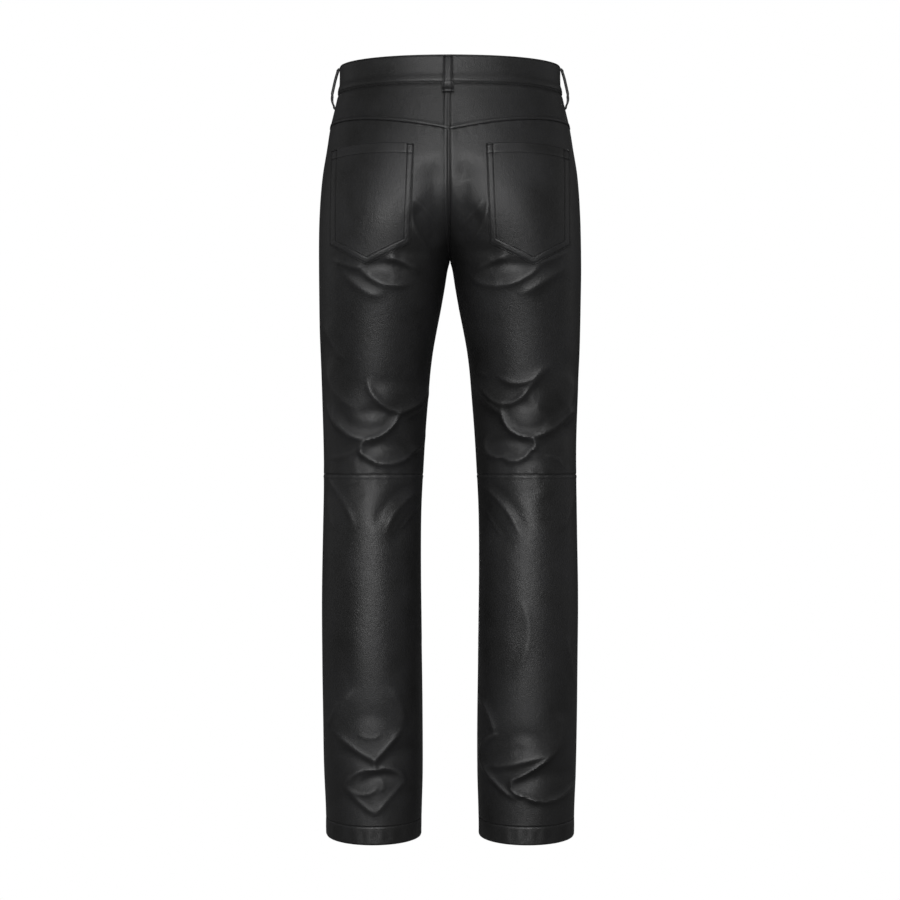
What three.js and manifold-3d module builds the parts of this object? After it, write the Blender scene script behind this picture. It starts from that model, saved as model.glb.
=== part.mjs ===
// Men's leather trousers, filled out and hollow as when worn, standing with the legs straight.
// Millimetres, +Z up. The origin is the middle of the waist, level with its top edge.
// The back faces +Y, the front faces -Y, and +X is the wearer's left.
import * as THREE from "three";
import { mergeVertices } from "three/addons/utils/BufferGeometryUtils.js";
import Module from "manifold-3d";

const wasm = await Module();
wasm.setup();

// Leather and seams
const leather = 1.5; // a single layer
const seamGap = 0.3; // between neighbouring pieces
const bandLeather = 2.6; // the waistband is folded double
const bandProud = 0.8; // how far the waistband stands out from the panels
const patchLeather = 1.6;

// Heights, from the top edge of the waistband down
const bandBottom = -39.5;
const crotchZ = -272;
const hemZ = -1070;
const hemDip = 5; // the back of each hem is this much lower
const hemTurn = 25; // the hem is turned up inside by this much
const hemLeather = 2.8;
const kneeSeamZ = -569;
const yokeSideZ = -87.4; // the back yoke's seam at the side
const yokeCentreZ = -104.8; // and at the centre back
const yokeArch = 6; // the seam arches up by this between them

// Turns rows of numbers into records with the named columns.
function table(columns, rows) {
  const names = columns.split(" ");
  return rows.map((row) => Object.fromEntries(names.map((name, k) => [name, row[k]])));
}

// The garment's section at each height: x of its outer side, y of its front, side seam and back,
// and how square the section is (2 is an ellipse).
const sections = table("z outer front side back square", [
  [10, 154, -104, -4, 100, 2.15],
  [-24, 154, -106, -4, 103, 2.15],
  [-42, 157.5, -108, -4, 107, 2.15],
  [-60, 161.5, -109, -3, 112, 2.15],
  [-86, 167.5, -110, -2, 118, 2.2],
  [-115, 172, -110, -1, 124, 2.25],
  [-155, 178, -109, 0, 129, 2.3],
  [-212, 182, -105, 2, 130, 2.3],
  [-272, 183, -99, 4, 119, 2.2],
  [-339, 182.5, -95, 3, 104, 2.1],
  [-395, 181.3, -90, 1, 93, 2.05],
  [-451, 179, -84, -1, 83, 2.05],
  [-507, 177.3, -79, -2, 76, 2.05],
  [-569, 176.6, -75, -2, 72, 2.05],
  [-648, 177.7, -70, 1, 75, 2.05],
  [-732, 179, -66, 5, 79, 2.05],
  [-816, 178.3, -62, 8, 80, 2.05],
  [-900, 177, -58, 9, 78, 2.05],
  [-984, 175.4, -57, 9, 77, 2.05],
  [-1040, 173.2, -57, 9, 76, 2.05],
  [-1090, 172.8, -57, 9, 76, 2.05],
]);

// Distance of the inseam from the middle, below the crotch.
const inseam = table("z x", [
  [-272, 0],
  [-283, 3.1],
  [-311, 7.6],
  [-339, 12.6],
  [-367, 18.2],
  [-395, 23.3],
  [-423, 27],
  [-451, 29.4],
  [-507, 33.8],
  [-563, 37.3],
  [-620, 40],
  [-700, 40.4],
  [-816, 39.1],
  [-900, 38.1],
  [-984, 38],
  [-1040, 39.6],
  [-1090, 39.8],
]);
const crotchSlope = 0.28; // sideways for each millimetre up, where the legs part
const seatRise = 215; // height over which the back halves close above the crotch
const flyRise = 130;

// The largest folds on the back, as seen from behind: a ridge, or a trough where its height is negative,
// from one place to another, bowed sideways in the middle. x is positive on the wearer's left.
const backFolds = table("x z toX toZ bow width height", [
  // under the left pocket
  [118, -290, 54, -294, -7, 6.5, -3.0],
  [119, -293, 56, -311, 9, 5.5, 3.0],
  [85, -277, 44, -292, -3, 5.5, 2.7],
  [145, -293, 94, -327, 6, 8.5, 3.0],
  [163, -266, 121, -325, 5, 10.4, -1.8],
  [143, -290, 96, -316, -1, 7.8, -1.8],
  [73, -273, 34, -271, -5, 7.8, -2.0],
  // behind the left knee
  [113, -445, 68, -484, 8, 6.5, 4.2],
  [68, -484, 30, -449, 6, 6.5, 3.8],
  [68, -484, 117, -522, -9, 5.5, 4.6],
  [160, -481, 117, -521, 10, 6.5, 3.8],
  [117, -522, 118, -544, 5, 5.5, 3.4],
  [119, -543, 49, -537, 14, 6.5, 3.8],
  [49, -537, 34, -509, 3, 5.5, 3.0],
  [111, -449, 37, -444, -5, 10.4, -2.2],
  [127, -486, 70, -490, -6, 7.8, -2.5],
  [153, -480, 76, -496, 19, 7.8, -1.8],
  [116, -535, 54, -532, -7, 7.8, -2.5],
  [168, -380, 117, -460, 3, 19.5, -2.0],
  [46, -482, 79, -519, -6, 15.6, -1.8],
  [170, -418, 135, -476, 8, 9.5, 2.3],
  // below the left knee
  [51, -582, 102, -636, 8, 7.8, -2.0],
  [39, -617, 80, -662, 2, 7.8, -1.8],
  [46, -593, 86, -644, 6, 5.5, 1.9],
  [166, -577, 132, -636, -3, 5.5, 1.9],
  // above the left hem
  [135, -864, 157, -921, 5, 7.5, 2.7],
  [150, -914, 70, -912, -15, 11.7, -2.0],
  [156, -921, 103, -959, 3, 6.5, 3.8],
  [68, -918, 103, -959, -1, 6.5, 3.8],
  [81, -862, 66, -916, -6, 8.5, 1.9],
  [154, -947, 107, -965, -5, 9.1, -2.2],
  [99, -963, 43, -943, -5, 10.4, -2.2],
  [143, -993, 101, -972, -8, 5.5, 3.0],
  [101, -972, 62, -987, -8, 5.5, 3.0],
  [124, -992, 73, -981, -7, 5.9, -2.5],
  [142, -995, 103, -1031, 3, 5.5, 2.7],
  [62, -987, 102, -1031, -1, 6.5, 2.3],
  [151, -1006, 107, -1032, -2, 9.1, -1.5],
  // under the right pocket
  [-47, -291, -114, -290, -6, 6.5, -3.0],
  [-119, -290, -70, -313, -4, 5.5, 3.0],
  [-70, -313, -31, -302, -3, 6.5, 2.7],
  [-37, -291, -76, -276, -3, 5.5, 2.3],
  [-24, -266, -67, -273, -4, 7.8, -2.0],
  [-97, -309, -146, -287, -3, 7.8, -1.8],
  [-99, -323, -152, -288, 2, 8.5, 3.0],
  [-112, -332, -156, -293, 4, 10.4, -1.5],
  // behind the right knee
  [-67, -437, -125, -426, 12, 6.5, 3.0],
  [-38, -438, -100, -452, 4, 10.4, -2.0],
  [-43, -452, -110, -448, 22, 6.5, 3.4],
  [-110, -448, -137, -418, 0, 7.5, 2.3],
  [-30, -443, -70, -485, 4, 5.5, 3.0],
  [-70, -483, -113, -518, 11, 5.5, 4.6],
  [-113, -518, -169, -476, 6, 6.5, 4.2],
  [-72, -484, -114, -474, -6, 9.1, -2.2],
  [-131, -488, -156, -472, 4, 11.7, -1.8],
  [-85, -499, -133, -495, 9, 6.5, -1.2],
  [-110, -460, -168, -407, 1, 16.9, -2.0],
  [-169, -434, -153, -487, -6, 8.5, 2.3],
  [-48, -520, -72, -546, 9, 5.5, 3.4],
  [-72, -546, -110, -537, 8, 5.5, 3.4],
  [-110, -537, -113, -518, 5, 5.5, 3.4],
  [-51, -526, -109, -529, -7, 7.8, -2.5],
  [-120, -529, -168, -500, 4, 11.7, -2.0],
  [-34, -464, -74, -509, 1, 11.7, -2.0],
  // below the right knee
  [-55, -582, -104, -649, -7, 7.8, -2.0],
  [-41, -582, -94, -647, -6, 4.5, 1.9],
  [-43, -606, -84, -666, 4, 9.1, -1.8],
  [-136, -596, -140, -638, 5, 11.7, -1.2],
  // above the right hem
  [-41, -876, -61, -925, -3, 4.5, 3.4],
  [-61, -925, -43, -963, 6, 4.5, 4.2],
  [-43, -963, -87, -1011, 5, 4.5, 4.2],
  [-61, -943, -138, -938, -16, 11.7, -2.2],
  [-49, -971, -141, -949, 2, 7.5, 3.4],
  [-141, -950, -83, -987, -3, 4.5, 4.6],
  [-87, -992, -165, -977, -5, 10.4, -2.8],
  [-96, -1005, -170, -995, 15, 5.0, 3.8],
  [-56, -990, -88, -1012, -1, 7.8, -1.8],
  [-149, -898, -146, -947, -5, 8.5, 1.9],
  [-83, -987, -101, -1008, 7, 4.0, 3.8],
  // the seat
  [22, -149, 6, -233, 4, 16.9, -3.5],
  [48, -209, 10, -251, 4, 13.0, -4.0],
  [51, -207, 27, -265, 7, 4.5, 1.9],
  [-51, -199, -27, -255, -6, 4.5, 1.9],
  [-40, -220, -7, -244, -3, 11.7, -3.5],
  [-23, -147, -10, -224, 4, 15.6, -3.2],
]);

// Folds on the hidden front, of the same kind: creases from the crotch, and short ones at knee and hem.
const frontFolds = table("x z toX toZ bow width height", [
  [14, -250, 92, -196, 6, 11, -3.5],
  [16, -266, 118, -238, 5, 12, 3.5],
  [-14, -248, -84, -206, -6, 11, -3],
  [-16, -268, -126, -232, -5, 12, 3.5],
  [24, -300, 96, -288, 5, 11, -3],
  [-24, -304, -88, -284, -5, 11, -3],
  [46, -520, 118, -506, 5, 12, 3.5],
  [70, -606, 146, -622, -6, 12, -3],
  [-52, -528, -132, -512, -5, 12, 3.5],
  [-62, -612, -150, -600, 5, 12, -3],
  [60, -918, 150, -936, 8, 12, 4],
  [52, -968, 138, -956, -6, 11, -4],
  [66, -1006, 144, -1014, 5, 11, 3],
  [-56, -930, -146, -914, -8, 12, 4],
  [-62, -962, -150, -980, 6, 11, -4],
  [-58, -1016, -130, -1004, -4, 11, 3],
]);
const foldBeyond = 0.15; // a fold runs past its two places by this share of its length
const foldEnd = 0.37; // and dies away over this share
const foldWidth = 9; // a narrower fold is drawn this wide and so much lower, as the grid is coarse
const foldCrest = 0.35; // the smaller, the sharper a ridge
const foldHollow = 0.9; // and a trough
const foldFall = 1.4;
const edgeFade = 3; // folds die away where a panel turns round to its side seam or inseam
const centreFade = 9; // and this near the centre seam

// Back pockets: places of the left one's corners as seen from behind
const pocket = { topZ: -124, innerX: 48, outerX: 163, lowInnerX: 53, lowZ: -257, pointX: 113, pointZ: -286 };
const pocketTopRise = 2.5; // the top edge is slightly arched
const pocketMargin = 25; // leather moved out beyond the outline, before it is cut
const pocketCutDepth = 160;

// Belt loops, by the way round from the centre front, as a share of each half's waist
const beltLoops = table("name side face share gap stretch", [
  ["belt_loop_back", 1, 1, 0.987, 7, 0.98],
  ["belt_loop_side_left", 1, 1, 0.0, 6.6, 1.07],
  ["belt_loop_side_right", -1, 1, 0.0, 6.6, 1.07],
  ["belt_loop_front_left", 1, -1, 0.66, 7.5, 1],
  ["belt_loop_front_right", -1, -1, 0.66, 7.5, 1],
]);
const loopWidth = 13;
const loopLeather = 2.6;
// Stand-off of a loop's inner face down its height, as a share of its gap, past what it is sewn on
const loopProfile = table("z share", [
  [-1, 0],
  [-5, 0.22],
  [-10, 0.5],
  [-18, 0.82],
  [-27, 1],
  [-36, 1],
  [-43, 0.88],
  [-48, 0.5],
  [-51, 0.1],
  [-54, 0],
]);

// Fly: the waistband's left end laps over its right end, with a button; a zip and a shield lie behind
const lapEndX = -4; // visible edge of the lapping end
const underEndX = 34; // hidden end of the layer beneath
const lapRamp = 14; // way round over which the lapping end rises
const lapClear = 2; // from the hidden end to where the lap is up
const bandSteps = 22; // faces round each half of the waistband
const buttonX = 14;
const buttonZ = -20;
const buttonRadius = 8.5;
const buttonHeight = 3;
const buttonStandOff = 0.4; // the lapping end is slightly rounded under it
const flyBottomZ = -190;
const zipWidth = 26;
const zipThickness = 1.2;
const shieldWidth = 44;

// The coarser the grid, the fewer faces
const panelColumns = 13;
const frontColumns = 10;
const stripeSamples = 72;
const smallTurn = 0.005; // radians and millimetres between the points that give a slope
const smallDrop = 0.5;

// Smooth curve through a table's column.
function curveThrough(rows, column) {
  const zs = rows.map((row) => row.z);
  const values = rows.map((row) => row[column]);
  const last = rows.length - 1;
  const slopes = values.map((_, k) => {
    const from = Math.max(k - 1, 0);
    const to = Math.min(k + 1, last);
    return (values[to] - values[from]) / (zs[to] - zs[from]);
  });
  return (z) => {
    const at = Math.min(Math.max(z, zs[last]), zs[0]);
    let k = 0;
    while (k < last - 1 && zs[k + 1] > at) k++;
    const span = zs[k + 1] - zs[k];
    const q = (at - zs[k]) / span;
    const rise = q * q * (3 - 2 * q);
    return (
      values[k] * (1 - rise) +
      values[k + 1] * rise +
      span * q * (1 - q) * (slopes[k] * (1 - q) - slopes[k + 1] * q)
    );
  };
}

const outerAt = curveThrough(sections, "outer");
const frontAt = curveThrough(sections, "front");
const sideAt = curveThrough(sections, "side");
const backAt = curveThrough(sections, "back");
const squareAt = curveThrough(sections, "square");
const inseamAt = curveThrough(inseam, "x");

// Where the section of one leg ends inwards; above the crotch it would pass the middle and is cut there.
function innerAt(face, z) {
  if (z <= crotchZ) return inseamAt(z);
  const rise = face > 0 ? seatRise : flyRise;
  const outer = outerAt(z);
  const q = Math.min((z - crotchZ) / rise, 1);
  return -crotchSlope * rise * q * (1 - q) ** 2 - outer * q * q * (3 - 2 * q);
}

// A point of the section at height z; face is 1 for the back and -1 for the front,
// and the angle runs from 0 at the side seam to pi at the inseam.
function sectionPoint(face, angle, z) {
  const outer = outerAt(z);
  const side = sideAt(z);
  const half = (outer - innerAt(face, z)) / 2;
  const depth = face > 0 ? backAt(z) - side : side - frontAt(z);
  const c = Math.cos(angle);
  const s = Math.sin(angle);
  const n = squareAt(z);
  const round = (Math.abs(c) ** n + Math.abs(s) ** n) ** (-1 / n);
  return new THREE.Vector3(outer - half * (1 - c * round), side + face * depth * s * round, z);
}

// The half section's angles and its length round from the side seam, cut at the middle of the garment.
const stripeStore = new Map();
function stripeAt(face, z) {
  const key = face + ":" + z.toFixed(4);
  if (stripeStore.has(key)) return stripeStore.get(key);
  let low = Math.PI / 2;
  let high = Math.PI;
  for (let k = 0; k < 40; k++) {
    const middle = (low + high) / 2;
    if (sectionPoint(face, middle, z).x > seamGap / 2) low = middle;
    else high = middle;
  }
  const angles = [0];
  const lengths = [0];
  let before = sectionPoint(face, 0, z);
  for (let k = 1; k <= stripeSamples; k++) {
    const angle = (low * k) / stripeSamples;
    const here = sectionPoint(face, angle, z);
    angles.push(angle);
    lengths.push(lengths[k - 1] + here.distanceTo(before));
    before = here;
  }
  const stripe = { angles, lengths, whole: lengths[stripeSamples] };
  stripeStore.set(key, stripe);
  return stripe;
}

// The angle at a length round from the side seam.
function angleAt(stripe, length) {
  let k = 0;
  while (k < stripeSamples - 1 && stripe.lengths[k + 1] < length) k++;
  const q = (length - stripe.lengths[k]) / (stripe.lengths[k + 1] - stripe.lengths[k]);
  return stripe.angles[k] + q * (stripe.angles[k + 1] - stripe.angles[k]);
}

function smooth(q) {
  const t = Math.min(Math.max(q, 0), 1);
  return t * t * (3 - 2 * t);
}

// Height of one fold at a place seen from behind or in front.
function foldHeight(fold, x, z) {
  const alongX = fold.toX - fold.x;
  const alongZ = fold.toZ - fold.z;
  const length = Math.hypot(alongX, alongZ);
  const t = ((x - fold.x) * alongX + (z - fold.z) * alongZ) / (length * length);
  if (t <= -foldBeyond || t >= 1 + foldBeyond) return 0;
  const across = ((x - fold.x) * -alongZ + (z - fold.z) * alongX) / length;
  const wide = Math.max(fold.width, foldWidth);
  const off = (across - fold.bow * 4 * t * (1 - t)) / wide;
  const ends = smooth((t + foldBeyond) / foldEnd) * smooth((1 + foldBeyond - t) / foldEnd);
  const round = fold.height > 0 ? foldCrest : foldHollow;
  const profile = Math.exp(-foldFall * (Math.hypot(off, round) - round));
  return fold.height * (fold.width / wide) * ends * profile;
}

function foldsAt(side, face, angle, x, z) {
  const folds = face > 0 ? backFolds : frontFolds;
  let height = 0;
  for (const fold of folds) height += foldHeight(fold, side * x, z);
  const centre = z > crotchZ ? smooth((x - seamGap) / centreFade) : 1;
  return height * centre * Math.min(1, edgeFade * Math.sin(angle));
}

// The leather's outer surface and its normal: side is 1 on the wearer's left, share runs from 0 at the
// side seam to 1 at the centre seam or inseam, and out moves the point outwards.
function surfacePoint(side, face, share, z, out = 0) {
  const stripe = stripeAt(face, z);
  const room = z < crotchZ ? stripe.whole - seamGap / 2 : stripe.whole;
  const length = seamGap / 2 + share * (room - seamGap / 2);
  const angle = angleAt(stripe, length);
  const here = sectionPoint(face, angle, z);
  const round = sectionPoint(face, angle + smallTurn, z).sub(sectionPoint(face, angle - smallTurn, z));
  const down = sectionPoint(face, angle, z - smallDrop).sub(sectionPoint(face, angle, z + smallDrop));
  const perTurn = round.length() / 2;
  const perDown = down.length() / 2;
  round.normalize();
  down.normalize();
  const normal = new THREE.Vector3().crossVectors(round, down).normalize();
  const fromMiddle = new THREE.Vector3(here.x - (outerAt(z) + innerAt(face, z)) / 2, here.y, 0);
  if (normal.dot(fromMiddle) < 0) normal.negate();
  const height = foldsAt(side, face, angle, here.x, z);
  const beyond = here.clone().addScaledVector(round, perTurn);
  const below = here.clone().addScaledVector(down, perDown);
  const slopeRound = (foldsAt(side, face, angle + smallTurn, beyond.x, beyond.z) - height) / perTurn;
  const slopeDown = (foldsAt(side, face, angle, below.x, below.z) - height) / perDown;
  const tilted = normal
    .clone()
    .addScaledVector(round, -slopeRound)
    .addScaledVector(down, -slopeDown)
    .normalize();
  here.addScaledVector(normal, height).addScaledVector(tilted, out);
  here.x = Math.max(here.x, seamGap / 2) * side;
  return here;
}

// A closed wall from a grid of outer points and a grid of inner points.
function wallGeometry(outer, inner) {
  const rows = outer.length;
  const columns = outer[0].length;
  const points = [...outer.flat(), ...inner.flat()];
  const at = (layer, row, column) => (layer * rows + row) * columns + column;
  const faces = [];
  const quad = (a, b, c, d) => faces.push([a, b, c], [a, c, d]);
  for (let r = 0; r < rows - 1; r++) {
    for (let c = 0; c < columns - 1; c++) {
      quad(at(0, r, c), at(0, r, c + 1), at(0, r + 1, c + 1), at(0, r + 1, c));
      quad(at(1, r, c), at(1, r + 1, c), at(1, r + 1, c + 1), at(1, r, c + 1));
    }
    const e = columns - 1;
    quad(at(0, r, 0), at(0, r + 1, 0), at(1, r + 1, 0), at(1, r, 0));
    quad(at(0, r, e), at(1, r, e), at(1, r + 1, e), at(0, r + 1, e));
  }
  for (let c = 0; c < columns - 1; c++) {
    const e = rows - 1;
    quad(at(0, 0, c), at(1, 0, c), at(1, 0, c + 1), at(0, 0, c + 1));
    quad(at(0, e, c), at(0, e, c + 1), at(1, e, c + 1), at(1, e, c));
  }
  let volume = 0;
  for (const [a, b, c] of faces) volume += points[a].dot(points[b].clone().cross(points[c]));
  const geometry = new THREE.BufferGeometry();
  const positions = points.flatMap((point) => [point.x, point.y, point.z]);
  geometry.setAttribute("position", new THREE.Float32BufferAttribute(positions, 3));
  geometry.setIndex(faces.flatMap(([a, b, c]) => (volume > 0 ? [a, b, c] : [a, c, b])));
  return geometry;
}

// Heights of the rows between two levels, closer together where the leather folds most.
const rowZones = table("from to step", [
  [0, -232, 21],
  [-232, -300, 8],
  [-300, -430, 20],
  [-430, -560, 10],
  [-560, -680, 17],
  [-680, -900, 37],
  [-900, -1100, 12],
]);
function rowsBetween(top, bottom) {
  const rows = [top];
  for (;;) {
    const here = rows[rows.length - 1];
    const zone = rowZones.find((one) => here <= one.from && here > one.to);
    const next = here - zone.step;
    if (next - bottom < zone.step / 2) break;
    rows.push(next);
  }
  rows.push(bottom);
  return rows;
}

function yokeSeamZ(share) {
  const drop = (yokeCentreZ - yokeSideZ) * share ** 1.6;
  return yokeSideZ + drop + yokeArch * Math.sin(Math.PI * share);
}

// A panel between two edges, whose heights depend on the way round.
function panelGrid(side, face, columns, levels, topAt, bottomAt, outAt) {
  const top = levels[0];
  const bottom = levels[levels.length - 1];
  return levels.map((level) => {
    const q = (top - level) / (top - bottom);
    return Array.from({ length: columns + 1 }, (_, c) => {
      const share = c / columns;
      const z = topAt(share) + (bottomAt(share) - topAt(share)) * q;
      return surfacePoint(side, face, share, z, outAt(level));
    });
  });
}

function panelGeometry(side, face, columns, levels, topAt, bottomAt) {
  const wall = (level) => -(level < hemZ + hemTurn ? hemLeather : leather);
  return wallGeometry(
    panelGrid(side, face, columns, levels, topAt, bottomAt, () => 0),
    panelGrid(side, face, columns, levels, topAt, bottomAt, wall),
  );
}

// The seat panel's first row follows the yoke's seam and the rows below it are level.
function seatPanelGeometry(side, levels, topAt) {
  const grid = (out) =>
    levels.map((level, r) =>
      Array.from({ length: panelColumns + 1 }, (_, c) => {
        const share = c / panelColumns;
        const z = r === 0 ? topAt(share) : level;
        return surfacePoint(side, 1, share, z, out);
      }),
    );
  return wallGeometry(grid(0), grid(-leather));
}

const flat = (z) => () => z;

// Between three.js geometry and manifold-3d's solids.
function toSolid(geometry) {
  const bare = geometry.index ? geometry.toNonIndexed() : geometry.clone();
  bare.deleteAttribute("normal");
  bare.deleteAttribute("uv");
  const merged = mergeVertices(bare, 1e-3);
  const mesh = new wasm.Mesh({
    numProp: 3,
    vertProperties: merged.attributes.position.array,
    triVerts: new Uint32Array(merged.index.array),
  });
  return new wasm.Manifold(mesh);
}

function toGeometry(solid) {
  const mesh = solid.getMesh();
  const geometry = new THREE.BufferGeometry();
  geometry.setAttribute("position", new THREE.Float32BufferAttribute(mesh.vertProperties, 3));
  geometry.setIndex(new THREE.BufferAttribute(new Uint32Array(mesh.triVerts), 1));
  return geometry;
}

// A back pocket: the panel's own points moved out, cut to the pocket's outline.
function pocketGeometry(side, levels) {
  const within = levels.filter((z) => z < pocket.topZ + pocketMargin && z > pocket.pointZ - pocketMargin);
  const top = flat(within[0]);
  const bottom = flat(within[within.length - 1]);
  const near = seamGap;
  const far = seamGap + patchLeather;
  const shell = wallGeometry(
    panelGrid(side, 1, panelColumns, within, top, bottom, () => far),
    panelGrid(side, 1, panelColumns, within, top, bottom, () => near),
  );
  const outline = new THREE.Shape();
  const middleX = (pocket.innerX + pocket.outerX) / 2;
  outline.moveTo(side * pocket.innerX, pocket.topZ);
  outline.quadraticCurveTo(side * middleX, pocket.topZ + 2 * pocketTopRise, side * pocket.outerX, pocket.topZ);
  outline.lineTo(side * pocket.outerX, pocket.lowZ);
  outline.lineTo(side * pocket.pointX, pocket.pointZ);
  outline.lineTo(side * pocket.lowInnerX, pocket.lowZ);
  outline.closePath();
  const through = { depth: pocketCutDepth, bevelEnabled: false, curveSegments: 6 };
  const cutter = new THREE.ExtrudeGeometry(outline, through);
  cutter.rotateX(Math.PI / 2);
  cutter.translate(0, pocketCutDepth, 0);
  return toGeometry(toSolid(shell).intersect(toSolid(cutter)));
}

// A point of the waistband, by the way round from the centre front towards the wearer's left.
function bandPoint(way, z, out) {
  const frontWay = stripeAt(-1, z).whole;
  const backWay = stripeAt(1, z).whole;
  const half = frontWay + backWay;
  const wrapped = Math.abs(way) > half ? way - 2 * half * Math.sign(way) : way;
  const side = Math.sign(wrapped) || 1;
  const round = Math.abs(wrapped);
  const face = round < frontWay ? -1 : 1;
  const share = face < 0 ? 1 - round / frontWay : (round - frontWay) / backWay;
  const point = surfacePoint(side, face, share, z, out);
  if (round < seamGap || round > half - seamGap) point.x = 0;
  return point;
}

// The waistband: one strip that starts beneath the lap, goes round by the wearer's right and ends over it.
function waistbandGeometry() {
  const half = stripeAt(-1, 0).whole + stripeAt(1, 0).whole;
  const lapOut = bandLeather + seamGap;
  const rampEnd = underEndX + lapClear;
  const rampStart = rampEnd + lapRamp;
  const stops = [underEndX, underEndX / 2, 0].map((way) => ({ way, out: 0 }));
  for (let k = 1; k <= bandSteps; k++) stops.push({ way: (-half * k) / bandSteps, out: 0 });
  for (let k = bandSteps - 1; (half * k) / bandSteps > rampStart; k--) {
    stops.push({ way: (half * k) / bandSteps, out: 0 });
  }
  if (stops[stops.length - 1].way < rampStart + lapRamp / 2) stops.pop();
  stops.push({ way: rampStart, out: 0 });
  for (const way of [rampEnd, underEndX / 2, lapEndX]) stops.push({ way, out: lapOut });
  const levels = [0, bandBottom / 2, bandBottom];
  const grid = (inward) =>
    levels.map((z) => stops.map((stop) => bandPoint(stop.way, z, bandProud + stop.out - inward)));
  return wallGeometry(grid(0), grid(bandLeather));
}

// A belt loop: a strip that stands off the waistband and is sewn down above and below.
function loopGeometry(loop) {
  const halfWidth = loopWidth / 2;
  const across = [-1, 0, 1];
  const grid = (layer) =>
    loopProfile.map((stop) =>
      across.map((step) => {
        const z = stop.z * loop.stretch;
        const seated = z > bandBottom ? bandProud + seamGap : seamGap;
        const out = seated + stop.share * loop.gap + layer * loopLeather;
        return loopPoint(loop, step * halfWidth, z, out);
      }),
    );
  return wallGeometry(grid(1), grid(0));
}

function loopPoint(loop, offset, z, out) {
  const level = Math.min(z, 0);
  const frontWay = stripeAt(-1, level).whole;
  const backWay = stripeAt(1, level).whole;
  const middle = loop.face < 0 ? frontWay * (1 - loop.share) : frontWay + backWay * loop.share;
  const way = loop.side * (middle + offset);
  const point = bandPoint(way, level, out);
  point.z = z + (point.z - level);
  return point;
}

// A strip behind the fly that follows the front panels' inner face.
function flyStrip(width, topZ, bottomZ, depthIn, thickness, rounded) {
  const levels = 8;
  const across = 6;
  const grid = (layer) =>
    Array.from({ length: levels + 1 }, (_, r) => {
      const q = r / levels;
      const z = topZ + (bottomZ - topZ) * q;
      const half = (width / 2) * (1 - rounded * smooth((q - 0.6) / 0.4));
      return Array.from({ length: across + 1 }, (_, c) => {
        const offset = half * ((2 * c) / across - 1);
        const share = 1 - Math.abs(offset) / stripeAt(-1, z).whole;
        const out = -(leather + depthIn + layer * thickness);
        const point = surfacePoint(Math.sign(offset) || 1, -1, share, z, out);
        if (offset === 0) point.x = 0;
        return point;
      });
    });
  return wallGeometry(grid(0), grid(1));
}

function buttonGeometry() {
  const profile = [
    [0, 0],
    [buttonRadius - 1.5, 0],
    [buttonRadius, 0.9],
    [buttonRadius, buttonHeight - 0.8],
    [buttonRadius - 0.9, buttonHeight],
    [buttonRadius - 2.6, buttonHeight - 0.5],
    [0, buttonHeight - 0.3],
  ].map(([radius, height]) => new THREE.Vector2(radius, height));
  const disc = new THREE.LatheGeometry(profile, 20);
  disc.deleteAttribute("normal");
  disc.deleteAttribute("uv");
  return mergeVertices(disc, 1e-3);
}

const blackLeather = new THREE.MeshStandardMaterial({ color: 0x2c2c2d, roughness: 0.46, metalness: 0 });
const patchBlack = new THREE.MeshStandardMaterial({ color: 0x303031, roughness: 0.46, metalness: 0 });
const gunmetal = new THREE.MeshStandardMaterial({ color: 0x4a4a4c, roughness: 0.35, metalness: 1 });
const tapeBlack = new THREE.MeshStandardMaterial({ color: 0x1c1c1d, roughness: 0.9, metalness: 0 });

const trousers = new THREE.Group();
function addPiece(name, geometry, material) {
  const mesh = new THREE.Mesh(geometry, material);
  mesh.name = name;
  trousers.add(mesh);
  return mesh;
}

const panelTop = bandBottom - seamGap;
const upperLevels = rowsBetween(-100, kneeSeamZ + seamGap / 2);
const frontLevels = [panelTop, -60, ...upperLevels.filter((z) => z < -60 && z !== -100)];
const lowerLevels = rowsBetween(kneeSeamZ - seamGap / 2, hemZ);
const kneeTop = flat(kneeSeamZ + seamGap / 2);
const kneeUnder = flat(kneeSeamZ - seamGap / 2);
const hemBack = (share) => hemZ - hemDip * Math.sin(Math.PI * share);

for (const [word, side] of [["left", 1], ["right", -1]]) {
  const yokeBottom = (share) => yokeSeamZ(share) + seamGap / 2;
  const seatTop = (share) => yokeSeamZ(share) - seamGap / 2;
  const yoke = panelGeometry(side, 1, panelColumns, [panelTop, -60, -81], flat(panelTop), yokeBottom);
  const backUpper = seatPanelGeometry(side, upperLevels, seatTop);
  const backLower = panelGeometry(side, 1, panelColumns, lowerLevels, kneeUnder, hemBack);
  const frontUpper = panelGeometry(side, -1, frontColumns, frontLevels, flat(panelTop), kneeTop);
  const frontLower = panelGeometry(side, -1, frontColumns, lowerLevels, kneeUnder, flat(hemZ));
  addPiece("back_yoke_" + word, yoke, blackLeather);
  addPiece("back_upper_" + word, backUpper, blackLeather);
  addPiece("back_lower_" + word, backLower, blackLeather);
  addPiece("front_upper_" + word, frontUpper, blackLeather);
  addPiece("front_lower_" + word, frontLower, blackLeather);
  addPiece("back_pocket_" + word, pocketGeometry(side, upperLevels), patchBlack);
}

addPiece("waistband", waistbandGeometry(), blackLeather);
for (const loop of beltLoops) addPiece(loop.name, loopGeometry(loop), patchBlack);

const zipIn = 1;
const shieldIn = zipIn + zipThickness + seamGap;
addPiece("fly_zip", flyStrip(zipWidth, panelTop - 3, flyBottomZ + 12, zipIn, zipThickness, 0), tapeBlack);
addPiece("fly_shield", flyStrip(shieldWidth, panelTop - 1, flyBottomZ, shieldIn, leather, 0.45), blackLeather);

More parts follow.
